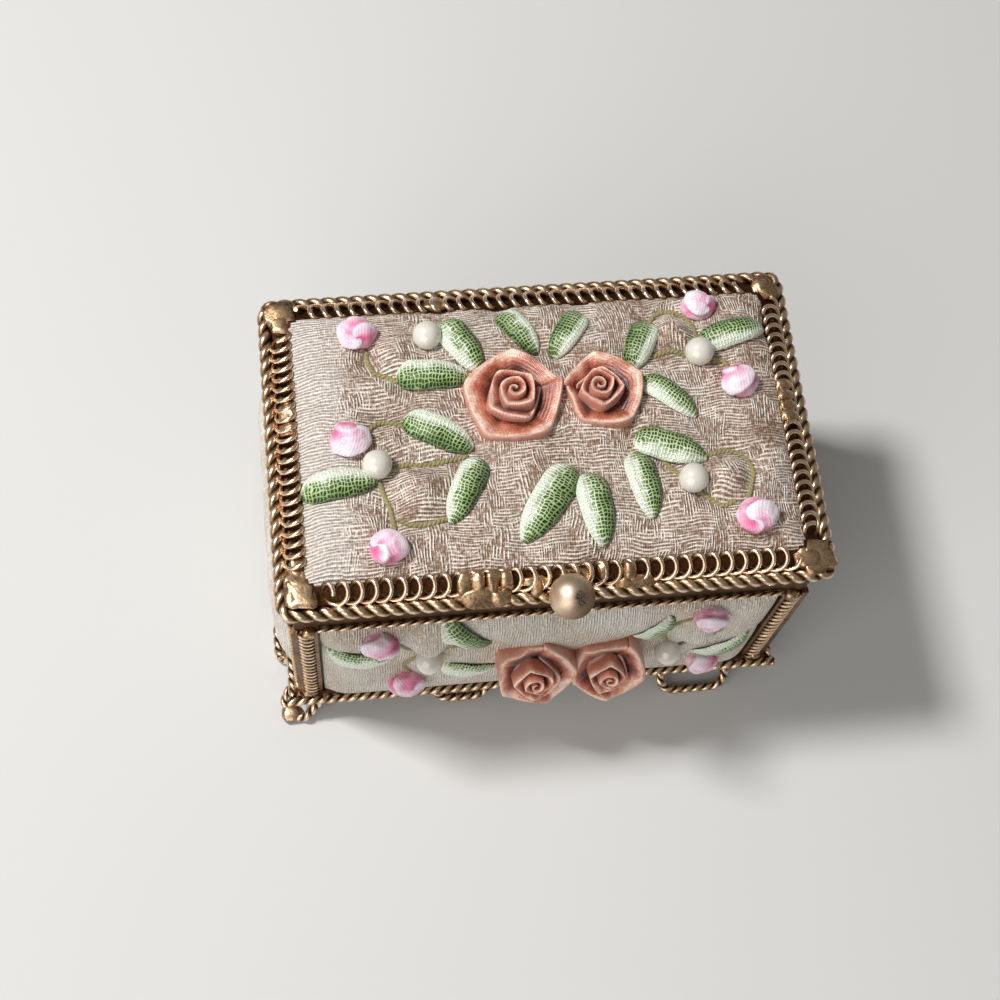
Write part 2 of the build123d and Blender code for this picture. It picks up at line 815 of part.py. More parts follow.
def pearl(bed, across_share, up_share):
    """A round pearl pressed a little way into the cushion."""
    centre = bed.seat(across_share, up_share, 0, pearl_radius - pearl_sink)
    with BuildPart() as bead:
        with BuildSketch(Plane(origin=centre.origin, x_dir=centre.x_dir, z_dir=-centre.y_dir)):
            Circle(pearl_radius)
            with Locations((-pearl_radius, 0)):
                Rectangle(2 * pearl_radius, 2 * pearl_radius, mode=Mode.SUBTRACT)
        revolve(axis=Axis(centre.origin, centre.z_dir))
        add(bed.pad, mode=Mode.SUBTRACT)
    return bead.part


def group(name, pieces):
    """Several separate solids that share one name."""
    joined = Compound(label=name, children=pieces)
    export_step(joined, f"parts/{name}.step")


# Ribbon work on the lid and on the front panel
work = {
    "lid": (
        lid_bed,
        lid_rose_shares,
        {"left": lid_rose_left_radius, "right": lid_rose_right_radius},
        rose_height,
        lid_leaf_shares,
        lid_leaf_length,
        lid_pearl_shares,
        lid_bud_shares,
    ),
    "front": (
        beds["front"],
        front_rose_shares,
        {"left": front_rose_radius, "right": front_rose_radius},
        front_rose_height,
        front_leaf_shares,
        front_leaf_length,
        front_pearl_shares,
        front_bud_shares,
    ),
}
for name, (
    bed,
    rose_shares,
    radii,
    rise,
    leaf_shares,
    length,
    pearl_shares,
    bud_shares,
) in work.items():
    first_rose = ribbon_rose(bed, rose_shares["left"], radii["left"], rise)
    second_rose = ribbon_rose(bed, rose_shares["right"], radii["right"], rise) - first_rose
    roses = [first_rose, second_rose]
    for hand, rose in zip(("left", "right"), roses):
        rose.label = f"{name}_rose_{hand}"
        export_step(rose, f"parts/{name}_rose_{hand}.step")
    pearls = [pearl(bed, *shares) for shares in pearl_shares]
    buds = [ribbon_bud(bed, *shares) for shares in bud_shares]
    leaves = [
        ribbon_leaf(bed, across, up, turn, length_share * length, roses + pearls + buds)
        for across, up, turn, length_share in leaf_shares
    ]
    group(f"{name}_pearls", pearls)
    group(f"{name}_buds", buds)
    group(f"{name}_leaves", leaves)
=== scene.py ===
"""Dresses a small gilt trinket box: twisted ropes, wire rings, padded brocade, ribbon flowers."""

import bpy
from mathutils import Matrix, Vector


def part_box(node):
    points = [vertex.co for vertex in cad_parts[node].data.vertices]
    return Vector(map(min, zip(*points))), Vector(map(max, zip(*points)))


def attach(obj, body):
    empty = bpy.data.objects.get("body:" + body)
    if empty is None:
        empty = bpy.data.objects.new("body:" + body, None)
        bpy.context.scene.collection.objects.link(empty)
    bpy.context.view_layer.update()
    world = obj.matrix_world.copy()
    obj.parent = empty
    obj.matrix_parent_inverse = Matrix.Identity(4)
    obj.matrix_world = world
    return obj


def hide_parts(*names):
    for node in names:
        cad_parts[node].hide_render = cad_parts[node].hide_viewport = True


bl_info = {
    "name": "Gilt Brocade Trinket Box",
    "version": (1, 0, 0),
    "blender": (4, 5, 0),
    "location": "View3D > Sidebar > Trinket Box",
    "description": "Builds the ropes, rings, padded panels and ribbon flowers of a hinged box",
    "category": "Object",
}

import math

import bmesh
import bpy
import numpy as np
from bpy.props import FloatProperty, FloatVectorProperty, IntProperty, PointerProperty
from mathutils import Matrix, Vector, noise
from mathutils.bvhtree import BVHTree
from mathutils.kdtree import KDTree

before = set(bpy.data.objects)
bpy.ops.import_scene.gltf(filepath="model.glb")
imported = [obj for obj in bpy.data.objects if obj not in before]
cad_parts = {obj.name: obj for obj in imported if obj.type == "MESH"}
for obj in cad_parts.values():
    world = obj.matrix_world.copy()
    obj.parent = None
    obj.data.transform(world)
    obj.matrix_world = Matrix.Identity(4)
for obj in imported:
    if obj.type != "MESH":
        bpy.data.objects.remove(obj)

MM = 0.001
TAU = 2 * math.pi
LOOK = "_look"
UP = Vector((0, 0, 1))
OUTWARD = {
    "front": Vector((0, -1, 0)),
    "right": Vector((1, 0, 0)),
    "back": Vector((0, 1, 0)),
    "left": Vector((-1, 0, 0)),
}
CORNERS = {
    "front_left": (-1, -1),
    "front_right": (1, -1),
    "back_right": (1, 1),
    "back_left": (-1, 1),
}

# What every colour and every length among the settings has in common
COLOUR = {"subtype": "COLOR", "size": 3, "min": 0, "max": 1}
LENGTH = {"subtype": "DISTANCE", "unit": "LENGTH"}

# Millimetres that 1 on the weave map stands for, on padded cloth, and along and across ribbon
CLOTH_WEAVE = 100
RIBBON_LENGTH, RIBBON_WIDTH = 20, 4

# How far the slanted band of the lid frame runs inwards and rises
BAND_RUN = 2.4 * MM
BAND_RISE = 1.5 * MM

# Padded cloth: the soft border of a pad, how deep and how wide a stitch pulls it in, how near to
# a stitch it is held, how far stuffing lifts it with and without stitches, and how high a puff is
PAD_BORDER = 5 * MM
STITCH_DEPTH = 0.95 * MM
STITCH_REACH = 1.4 * MM
STITCH_HOLD = 0.42 * MM
STITCHED_LIFT = 1.3 * MM
PLAIN_LIFT = 0.3 * MM
PUFF_HEIGHT = 1.5 * MM

# Points in one turn of a rope's strand, a ring and a corner coil
ROPE_STEPS = 12
RING_STEPS = 20
COIL_STEPS = 14

# Sewn work, in millimetres from the middle of its pad. A leaf has its place across and up, its
# length, its turn in degrees, its width, and the side of its pale edge, 1 or -1. A number beyond
# these brings the pale edge further in
LID_LEAVES = [
    (-9.4, 12.1, 8.9, -60, 4.2, -1),
    (-13.3, 7.9, 9.3, -4, 4.2, 1),
    (-13.3, 0.1, 9.6, -30, 4.1, 1),
    (-10.7, -7.8, 9.4, -118, 3.8, -1),
    (-26.1, -6.0, 9.6, 4, 4.0, 1),
    (-0.8, -10.3, 11.9, -127, 4.6, -1),
    (5.0, -11.5, 9.7, -84, 4.2, -1),
    (-1.8, 13.6, 7.8, -58, 3.5, 1),
    (4.4, 12.7, 8.0, -126, 3.5, 1),
    (13.5, 10.4, 7.4, -115, 3.8, 1),
    (16.4, 3.0, 8.6, -42, 3.3, -1),
    (26.0, 11.4, 9.6, 14, 3.7, -1),
    (15.5, -4.1, 9.6, -21, 4.0, -1),
    (11.4, -8.8, 9.0, -82, 3.8, -1),
]
LID_BUDS = [(-22.4, 14.4), (-24.4, -0.3), (-20.8, -14.7), (22.0, 15.6), (25.6, 4.3), (24.8, -14.2)]
LID_PEARLS = [(-13.6, 13.4), (-21.3, -3.9), (21.0, 8.7), (17.6, -8.7)]
LID_STEMS = [
    [(-21.4, 12.3), (-21.4, 10.8), (-20.7, 9.2), (-19.0, 8.4), (-17.5, 7.5)],
    [(-22.3, 0.5), (-21.5, 1.7), (-20.0, 2.2), (-18.5, 1.9), (-17.2, 1.2)],
    [(-21.3, -5.2), (-20.8, -7.5), (-20.2, -9.5), (-19.8, -12.2)],
    [(-19.4, -10.8), (-17.5, -11.8), (-15.1, -11.7), (-13.3, -11.2)],
    [(-19.9, -4.4), (-17.6, -3.7), (-15.8, -4.0), (-13.1, -3.7), (-10.0, -3.2)],
    [(15.2, 13.4), (16.2, 14.9), (18.0, 15.4), (19.6, 14.7), (20.9, 13.2), (21.3, 10.2)],
    [(19.6, 8.7), (17.6, 9.4), (15.2, 9.0)],
    [(22.4, 8.4), (24.1, 7.8), (24.7, 6.7), (24.6, 5.2)],
    [(19.8, -5.4), (21.7, -5.0), (23.4, -5.1), (24.9, -6.2), (25.5, -7.9), (25.0, -9.7),
     (24.2, -12.0)],
    [(14.2, -5.4), (15.3, -6.7), (16.3, -7.8)],
    [(18.2, -9.9), (19.5, -11.2), (21.0, -12.2), (22.6, -11.6)],
]
# Where the stuffing stands up between the stems: its place and how far it reaches
LID_PUFFS = [(-16.2, -7.7, 4.0), (-17.7, 11.6, 3.4), (18.0, 11.7, 3.2), (22.0, -8.4, 3.5)]
# A rose has its place, its radius, its turn in degrees and how far its outer turn leans
LID_ROSES = {"left": (-3.5, 4.0, 6.9, 20, -0.2), "right": (7.2, 3.9, 5.6, 168, 0.9)}
FRONT_LEAVES = [
    (-24.5, 5.75, 9.4, -10, 5.2, -1.3),
    (-11.0, 9.85, 9.0, -47, 4.0, -1),
    (-10.0, -2.6, 8.2, -14, 5.0, -1.35),
    (14.0, 7.55, 7.4, 60, 3.8, 1),
    (24.6, -2.15, 9.4, 43, 4.0, 1),
]
FRONT_BUDS = [(-22.3, 11.1), (-18.7, -6.1), (20.7, 11.1), (23.0, -8.2)]
FRONT_PEARLS = [(-15.8, 3.75), (17.0, -1.35)]
FRONT_STEMS = [
    [(-20.6, 9.6), (-19.8, 8.2), (-18.9, 6.6), (-17.2, 5.0)],
    [(-18.2, -4.4), (-18.9, -1.9), (-18.6, 0.6), (-17.0, 2.9)],
    [(-14.4, 4.6), (-13.0, 5.6), (-11.2, 5.9), (-8.6, 5.2)],
    [(-14.6, 5.4), (-13.4, 7.2), (-13.0, 8.6)],
    [(19.6, 9.6), (17.6, 8.6), (16.2, 6.2), (15.9, 3.2), (16.6, 0.6)],
    [(18.6, -2.2), (20.6, 0.2), (23.0, 2.4), (23.6, 6.0), (22.6, 9.6)],
]
FRONT_PUFFS = [(-15.6, 8.4, 3.4), (20.2, 4.6, 3.4)]
FRONT_ROSES = {"left": (-2.0, 1.3, 5.9, 80, 0.0), "right": (8.0, 0.6, 5.5, 60, 0.0)}
LID_WORK = (LID_LEAVES, LID_BUDS, LID_PEARLS, LID_STEMS, LID_ROSES)
FRONT_WORK = (FRONT_LEAVES, FRONT_BUDS, FRONT_PEARLS, FRONT_STEMS, FRONT_ROSES)

# How far the crest of a rose's ribbon lies from the middle, as a share of its size, turn by turn
ROSE_COIL = (0.05, 0.19, 0.36, 0.58)

# Lumps of solder on the lid frame, in millimetres: side, place along it, place up the slope, then
# how far the lump reaches along, up the slope and out of it
LID_LUMPS = [
    ("front", -10.0, -1.7, 3.3, 1.5, 1.15),
    ("front", -7.6, -1.9, 1.3, 1.2, 1.25),
    ("front", -12.0, 0.1, 0.98, 1.45, 1.3),
    ("front", -10.3, 0.1, 0.98, 1.45, 1.3),
    ("front", -8.6, 0.1, 0.98, 1.45, 1.3),
    ("front", -6.9, 0.1, 0.95, 1.4, 1.25),
    ("front", -3.1, -0.9, 0.9, 1.7, 0.95),
    ("front", -3.3, -0.3, 1.8, 0.7, 0.9),
    ("front", 5.2, 0.4, 0.8, 1.2, 0.9),
    ("front", 9.0, -1.3, 2.6, 0.95, 0.85),
    ("front", 8.3, 0.1, 0.95, 1.35, 1.25),
    ("right", 4.4, 0.3, 0.9, 1.3, 1.0),
    ("right", 2.9, 0.3, 0.9, 1.3, 1.0),
    ("right", 1.4, 0.3, 0.9, 1.3, 1.0),
    ("right", -0.1, 0.3, 0.9, 1.3, 1.0),
    ("left", -5.0, 0.3, 1.5, 1.2, 0.85),
    ("left", -2.8, 0.2, 1.0, 1.2, 0.8),
    ("back", 12.0, 0.0, 1.6, 1.2, 0.8),
]
# Lumps at the frame's corners: place inwards across, place inwards from front or back, and size
CORNER_LUMPS = {
    "front_left": [(0.5, 0.5, 1.9), (0.1, 2.2, 1.5), (0.3, 3.9, 1.1)],
    "front_right": [(0.0, 0.2, 2.0), (1.3, 0.1, 1.5)],
    "back_right": [(0.2, 0.2, 1.6)],
    "back_left": [(0.1, 0.2, 1.9), (0.2, 1.6, 1.3)],
}


class GiltProps(bpy.types.PropertyGroup):
    """Sizes and colours of the gilt wire and sheet."""

    # light is also the painted highlight on the crests, and dark the painted shade in the hollows,
    # besides the gilt's rubbed colour and patina
    light: FloatVectorProperty(
        name="Gilt",
        description="Colour of the gilt where it is rubbed bright",
        default=(0.90, 0.68, 0.50),
        **COLOUR,
    )
    dark: FloatVectorProperty(
        name="Patina",
        description="Colour of the gilt in its hollows",
        default=(0.045, 0.018, 0.009),
        **COLOUR,
    )
    rope_lay: FloatProperty(
        name="Lid rope lay",
        description="Length in which a strand of the lid rope goes round once",
        default=3.7 * MM,
        **LENGTH,
    )
    base_rope_lay: FloatProperty(
        name="Base rope lay",
        description="Length in which a strand of the base rope goes round once",
        default=2.9 * MM,
        **LENGTH,
    )
    top_rope_lay: FloatProperty(
        name="Thin rope lay",
        description="Length in which a strand of the thin ropes goes round once",
        default=3.0 * MM,
        **LENGTH,
    )
    ring_pitch: FloatProperty(
        name="Ring pitch",
        description="Distance from one ring of the lid band to the next",
        default=1.75 * MM,
        **LENGTH,
    )
    ring_wire: FloatProperty(
        name="Ring wire",
        description="Radius of the wire of the rings",
        default=0.31 * MM,
        **LENGTH,
    )
    coil_turns: IntProperty(
        name="Corner coil turns",
        description="Turns of wire up each corner post",
        min=4,
        default=19,
    )


class BrocadeProps(bpy.types.PropertyGroup):
    """Sizes and colours of the brocade and the linings."""

    # The raised threads' colours also hold painted highlight, and the colours between them painted
    # shade, besides the brocade's own colours
    light: FloatVectorProperty(
        name="Brocade light",
        description="Colour of the raised threads",
        default=(1.0, 0.91, 0.82),
        **COLOUR,
    )
    dark: FloatVectorProperty(
        name="Brocade dark",
        description="Colour between the raised threads",
        default=(0.185, 0.104, 0.060),
        **COLOUR,
    )
    side_light: FloatVectorProperty(
        name="Panel light",
        description="Colour of the raised threads of the side panels",
        default=(1.0, 0.97, 0.90),
        **COLOUR,
    )
    side_dark: FloatVectorProperty(
        name="Panel dark",
        description="Colour between the raised threads of the side panels",
        default=(0.50, 0.45, 0.38),
        **COLOUR,
    )
    lining: FloatVectorProperty(
        name="Lining",
        description="Colour of the satin lining",
        default=(0.72, 0.60, 0.47),
        **COLOUR,
    )
    rib: FloatProperty(
        name="Rib pitch",
        description="Distance between the ribs of the brocade",
        default=0.43 * MM,
        **LENGTH,
    )
    cell: FloatProperty(
        name="Pad cell",
        description="Size of the cells of the padded cloth before it is smoothed",
        default=0.62 * MM,
        **LENGTH,
    )


class RibbonProps(bpy.types.PropertyGroup):
    """Colours and sizes of the sewn ribbon, pearls and thread."""

    rose: FloatVectorProperty(
        name="Rose ribbon",
        description="Colour of the rose ribbon",
        default=(0.60, 0.22, 0.145),
        **COLOUR,
    )
    leaf: FloatVectorProperty(
        name="Leaf ribbon",
        description="Darkest colour of the leaf ribbon",
        default=(0.020, 0.062, 0.012),
        **COLOUR,
    )
    bud: FloatVectorProperty(
        name="Bud ribbon",
        description="Deepest colour of the bud ribbon",
        default=(0.78, 0.12, 0.27),
        **COLOUR,
    )
    pearl: FloatVectorProperty(
        name="Pearl",
        description="Colour of the pearls",
        default=(0.74, 0.72, 0.60),
        **COLOUR,
    )
    pearl_radius: FloatProperty(
        name="Pearl radius",
        description="Radius of a pearl",
        default=1.88 * MM,
        **LENGTH,
    )
    ribbon_thickness: FloatProperty(
        name="Ribbon thickness",
        description="Thickness of all the ribbon",
        default=0.13 * MM,
        **LENGTH,
    )


class StageProps(bpy.types.PropertyGroup):
    """The floor, the lamps and the camera."""

    floor: FloatVectorProperty(
        name="Floor",
        description="Colour of the floor",
        default=(0.66, 0.655, 0.64),
        **COLOUR,
    )
    key: FloatProperty(
        name="Key lamp",
        description="Power of the key lamp in watts",
        min=0,
        default=4.2,
    )
    fill: FloatProperty(
        name="Fill lamp",
        description="Power of the fill lamp in watts",
        min=0,
        default=2.8,
    )
    sky: FloatProperty(
        name="Room light",
        description="Strength of the light from all round",
        min=0,
        default=0.18,
    )


def held(value):
    """A number kept between 0 and 1."""
    return min(1, max(0, value))


def span(node, direction):
    """Least and greatest place of a CAD piece along a direction."""
    places = [vertex.co.dot(direction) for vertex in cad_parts[node].data.vertices]
    return min(places), max(places)


def new_mesh():
    """An empty bmesh with the layers that the materials read."""
    bm = bmesh.new()
    bm.verts.layers.float.new("crest")
    bm.loops.layers.uv.new("weave")
    return bm


def finish_piece(name, bm, body, finish, replaced=()):
    """Turns a bmesh into a named piece that rides on a body."""
    mesh = bpy.data.meshes.new(name)
    bm.to_mesh(mesh)
    bm.free()
    mesh.shade_smooth()
    mesh.materials.append(finish)
    piece = bpy.data.objects.new(name, mesh)
    bpy.context.scene.collection.objects.link(piece)
    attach(piece, body)
    if replaced:
        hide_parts(*replaced)
    return piece


def finish_twist(node, bm, body):
    """Turns a bmesh into the gilt rope that stands for a node."""
    return finish_piece(f"{node}_twist", bm, body, material("gilt_wire"), [node])


def refine(piece, thickness=0.0):
    """Adds live smoothing to a piece, and a thickness where it is a sheet."""
    if thickness:
        solid = piece.modifiers.new("Thickness", "SOLIDIFY")
        solid.thickness = thickness
        solid.offset = 0
    smooth = piece.modifiers.new("Smooth", "SUBSURF")
    smooth.levels = smooth.render_levels = 1
    return piece


def even(points, step, closed=False):
    """Points at even steps along a line of points."""
    line = np.array([tuple(point) for point in points])
    if closed:
        line = np.vstack([line, line[:1]])
    runs = np.linalg.norm(np.diff(line, axis=0), axis=1)
    at = np.concatenate([[0], np.cumsum(runs)])
    count = max(3, round(at[-1] / step))
    wanted = np.linspace(0, at[-1], count + 1)
    if closed:
        wanted = wanted[:-1]
    return [Vector([np.interp(s, at, line[:, axis]) for axis in range(3)]) for s in wanted]


def rounded(corners, bend, step, closed=False):
    """Even points along a route whose corners are rounded."""
    points = []
    bend_steps = 8
    for number, corner in enumerate(corners):
        if not closed and number in (0, len(corners) - 1):
            points.append(corner)
            continue
        before = (corners[number - 1] - corner).normalized() * bend
        after = (corners[(number + 1) % len(corners)] - corner).normalized() * bend
        for part in range(bend_steps + 1):
            t = part / bend_steps
            points.append(corner + before * (1 - t) ** 2 + after * t**2)
    return even(points, step, closed)


def curved(points):
    """A smooth line through every point."""
    parts = 8
    ends = [points[0], *points, points[-1]]
    line = []
    for a, b, c, d in zip(ends, ends[1:], ends[2:], ends[3:]):
        for part in range(parts):
            t = part / parts
            bow = (a * 2 - b * 5 + c * 4 - d) * t**2 + (b * 3 - a - c * 3 + d) * t**3
            line.append((b * 2 + (c - a) * t + bow) / 2)
    return line + [points[-1]]


def add_tube(bm, points, radius, closed=False):
    """Adds a round wire along a line of points and returns its vertices."""
    curve = bpy.data.curves.new("wire", "CURVE")
    curve.dimensions = "3D"
    spline = curve.splines.new("POLY")
    spline.points.add(len(points) - 1)
    for made, point in zip(spline.points, points):
        made.co = (*point, 1)
    spline.use_cyclic_u = closed
    curve.bevel_depth = radius
    curve.bevel_resolution = 2
    curve.use_fill_caps = not closed
    carrier = bpy.data.objects.new("wire", curve)
    mesh = bpy.data.meshes.new_from_object(carrier)
    first = len(bm.verts)
    bm.from_mesh(mesh)
    bpy.data.objects.remove(carrier)
    bpy.data.curves.remove(curve)
    bpy.data.meshes.remove(mesh)
    bm.verts.ensure_lookup_table()
    return bm.verts[first:]


def mark_crest(bm, verts, wear_and_shade):
    """Notes on each vertex a crest value from 0 to 1, which the gilt paints as patina and painted
    shade at 0 and as rubbed gilt and painted highlight at 1.
    """
    layer = bm.verts.layers.float["crest"]
    for vertex in verts:
        vertex[layer] = held(wear_and_shade(vertex.co))


def add_rope(bm, points, flat, radius, lay, hand, closed=False):
    """Two strands twisted round a route. flat is the normal of the plane that it lies in."""
    plies = 2
    strand_share = 0.6
    hollow, bare = 0.58, 0.4
    length = sum((b - a).length for a, b in zip(points, points[1:]))
    turns = round(length / lay) if closed else length / lay
    layer = bm.verts.layers.float["crest"]
    last = len(points) - 1
    axis = KDTree(len(points))
    for number, point in enumerate(points):
        axis.insert(point, number)
    axis.balance()
    for ply in range(plies):
        strand = []
        for number, point in enumerate(points):
            after = points[(number + 1) % len(points)] if closed or number < last else point
            before = points[number - 1] if closed or number else point
            side = (after - before).cross(flat).normalized()
            angle = hand * TAU * (turns * number / len(points) + ply / plies)
            swing = side * math.cos(angle) + flat * math.sin(angle)
            strand.append(point + swing * radius * (1 - strand_share))
        # Marks the strands bright on the rope's outside and dark towards its middle: patina and
        # painted shade in the crevices, painted highlight on top
        for vertex in add_tube(bm, strand, radius * strand_share, closed):
            gap = axis.find(vertex.co)[2]
            vertex[layer] = held((gap / radius - hollow) / bare)


def add_lump(bm, middle, reach, seed, wobble=0.18):
    """A smooth uneven lump of solder. reach is a matrix that shapes a unit ball."""
    squareness = 0.75
    made = bmesh.ops.create_icosphere(bm, subdivisions=3, radius=1)["verts"]
    for vertex in made:
        bump = noise.noise(vertex.co * 1.3 + Vector((seed * 3.1, seed * 1.7, seed)))
        fine = noise.noise(vertex.co * 3.4 + Vector((seed, seed * 2.3, seed * 4.1)))
        square = Vector([math.copysign(abs(part) ** squareness, part) for part in vertex.co])
        vertex.co = middle + reach @ (square * (1 + wobble * bump + wobble * 0.35 * fine))
    low = min(vertex.co.z for vertex in made)
    high = max(vertex.co.z for vertex in made)
    # Painted highlight and shade: each lump is marked brighter towards its top and darker towards
    # its bottom
    mark_crest(bm, made, lambda place: 0.28 + 0.42 * (place.z - low) / (high - low))


class Shade:
    """A material in the making: adds nodes and joins them."""

    def __init__(self, name, **sockets):
        self.material = bpy.data.materials.new(name + LOOK)
        self.material.use_nodes = True
        self.nodes = self.material.node_tree.nodes
        self.links = self.material.node_tree.links
        self.surface = self.nodes["Principled BSDF"]
        for socket, value in sockets.items():
            self.surface.inputs[socket.replace("_", " ")].default_value = value

    def node(self, kind, **settings):
        made = self.nodes.new("ShaderNode" + kind)
        for key, value in settings.items():
            setattr(made, key, value)
        return made

    def feed(self, socket, value):
        """Joins a socket to another, or gives it a value."""
        if isinstance(value, bpy.types.NodeSocket):
            self.links.new(value, socket)
        else:
            socket.default_value = value

    def math(self, operation, *values, clamp=False):
        made = self.node("Math", operation=operation, use_clamp=clamp)
        for socket, value in zip(made.inputs, values):
            self.feed(socket, value)
        return made.outputs[0]

    def vector(self, operation, first, second=None, scale=None):
        made = self.node("VectorMath", operation=operation)
        self.feed(made.inputs[0], first)
        if second is not None:
            self.feed(made.inputs[1], second)
        if scale is not None:
            self.feed(made.inputs["Scale"], scale)
        return made.outputs["Value" if operation in ("DOT_PRODUCT", "LENGTH") else "Vector"]

    def place(self):
        """The place on the piece, in millimetres."""
        return self.vector("SCALE", self.node("TexCoord").outputs["Object"], scale=1 / MM)

    def weave(self, *scale):
        """The place on the weave map, with each of its parts multiplied."""
        place = self.node("UVMap", uv_map="weave").outputs["UV"]
        return self.vector("MULTIPLY", place, (*scale, 0))

    def axes(self, place):
        """The three parts of a place."""
        made = self.node("SeparateXYZ")
        self.feed(made.inputs[0], place)
        return made.outputs

    def attribute(self, name):
        return self.node("Attribute", attribute_name=name).outputs["Fac"]

    def noise(self, place, scale, detail=2.0, output="Fac"):
        made = self.node("TexNoise")
        self.feed(made.inputs["Vector"], place)
        made.inputs["Scale"].default_value = scale
        made.inputs["Detail"].default_value = detail
        return made.outputs[output]

    def wave(self, value, pitch):
        """A smooth wave from 0 to 1 with that pitch."""
        turned = self.math("MULTIPLY", value, TAU / pitch)
        return self.math("MULTIPLY_ADD", self.math("SINE", turned), 0.5, 0.5)

    def ramp(self, factor, *stops):
        made = self.node("ValToRGB")
        elements = made.color_ramp.elements
        while len(elements) < len(stops):
            elements.new(0.5)
        for element, (at, colour) in zip(elements, stops):
            element.position = at
            element.color = (*colour, 1)
        self.feed(made.inputs["Fac"], factor)
        return made.outputs["Color"]

    def spread(self, value, low, high, to_low=0.0, to_high=1.0):
        """Moves a number from one range to another and keeps it there."""
        made = self.node("MapRange")
        for socket, number in zip(made.inputs, (value, low, high, to_low, to_high)):
            self.feed(socket, number)
        return made.outputs["Result"]

    def uneven(self, scale, reach, detail=2.0):
        """Noise on the piece that swings to reach on both sides of 0."""
        return self.spread(self.noise(self.place(), scale, detail), 0.3, 0.7, -reach, reach)

    def mix(self, factor, first, second, blend="MIX"):
        """A colour between two others. The colours of a Mix node are its sockets 6, 7 and 2."""
        made = self.node("Mix", data_type="RGBA", blend_type=blend)
        self.feed(made.inputs["Factor"], factor)
        for socket, colour in ((made.inputs[6], first), (made.inputs[7], second)):
            self.feed(socket, colour if isinstance(colour, bpy.types.NodeSocket) else (*colour, 1))
        return made.outputs[2]

    def between(self, factor, first, second):
        """A number between two others. The numbers of a Mix node are its sockets 2, 3 and 0."""
        made = self.node("Mix")
        for socket, value in ((0, factor), (2, first), (3, second)):
            self.feed(made.inputs[socket], value)
        return made.outputs[0]

    def done(self, colour, roughness, height, depth, strength):
        """Joins the colour, the roughness and the relief, whose depth is in millimetres."""
        bump = self.node("Bump")
        bump.inputs["Strength"].default_value = strength
        bump.inputs["Distance"].default_value = depth * MM
        self.feed(bump.inputs["Height"], height)
        self.feed(self.surface.inputs["Base Color"], colour)
        self.feed(self.surface.inputs["Roughness"], roughness)
        self.feed(self.surface.inputs["Normal"], bump.outputs["Normal"])
        return self.material


def shaded(colour, share):
    """A colour made lighter or darker."""
    return tuple(min(1, part * share) for part in colour)


def tinted(colour, *shares):
    """A colour with its red, green and blue multiplied."""
    return tuple(part * share for part, share in zip(colour, shares))


def gilt_material(name, light, dark, crest=True, roughness=0.27):
    """Antique gilt: bright on the crests and dark brown in the hollows that the crest layer marks,
    partly as rubbed wear and patina and partly as painted highlight and shade.
    """
    shade = Shade(name, Metallic=1.0)
    place = shade.place()
    cloud = shade.noise(place, 0.35, 3)
    grain = shade.noise(place, 3.2, 4)
    # The crest layer paints highlight on what stands out and shade in the hollows, on top of wear
    # and patina; sheets without it get random wear only
    wear_and_shade = shade.attribute("crest") if crest else shade.spread(cloud, 0.3, 0.7, 0.45, 0.9)
    mottled = shade.math("ADD", wear_and_shade, shade.spread(grain, 0.3, 0.7, -0.16, 0.16), clamp=True)
    red_gold = tinted(light, 1, 0.86, 0.62)
    tone = shade.ramp(
        mottled,
        (0.0, dark),
        (0.45, tuple(d + (c - d) * 0.22 for c, d in zip(red_gold, dark))),
        (0.72, tinted(light, 0.78, 0.70, 0.56)),
        (1.0, shaded(light, 1.15)),
    )
    rubbed = shade.spread(cloud, 0.35, 0.65, 0, 0.4)
    warm = shade.mix(rubbed, tone, shaded(light, 0.5), "MULTIPLY")
    rough = shade.spread(mottled, 0.1, 0.95, roughness + 0.28, roughness)
    relief = shade.math("ADD", grain, shade.math("MULTIPLY", cloud, 2.0))
    return shade.done(warm, rough, relief, 0.06, 0.5)


def knob_material(light, dark):
    """Satin brass with painted shade that darkens it towards its lower right, and one dark rough
    spot beside its middle.
    """
    shade = Shade("knob_brass", Metallic=1.0)
    place = shade.place()
    low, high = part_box("knob_ball")
    middle = (low + high) / 2 / MM
    spot = middle + Vector((0.75, -1.15, 2.4))
    gap = shade.vector("LENGTH", shade.vector("SUBTRACT", place, tuple(spot)))
    ragged = shade.math("ADD", gap, shade.spread(shade.noise(place, 1.6, 4), 0, 1, -0.8, 0.8))
    clear = shade.spread(ragged, 0.75, 1.1)
    grain = shade.noise(place, 5.0, 4)
    from_middle = shade.vector("SUBTRACT", place, tuple(middle))
    # Painted shade: the brass darkens towards the lower right, away from the light
    painted_shade_side = shade.vector("DOT_PRODUCT", from_middle, (0.7, -0.55, -0.45))
    satin = shade.mix(grain, shaded(light, 0.66), shaded(light, 0.95))
    satin = shade.mix(shade.spread(painted_shade_side, -1.0, 2.1), satin, tinted(light, 0.13, 0.08, 0.04))
    rough_spot = shade.ramp(shade.noise(place, 6, 3), (0.35, dark), (0.7, shaded(light, 0.9)))
    rough = shade.spread(clear, 0, 1, 0.35, 0.44)
    return shade.done(shade.mix(clear, rough_spot, satin), rough, grain, 0.05, 0.5)


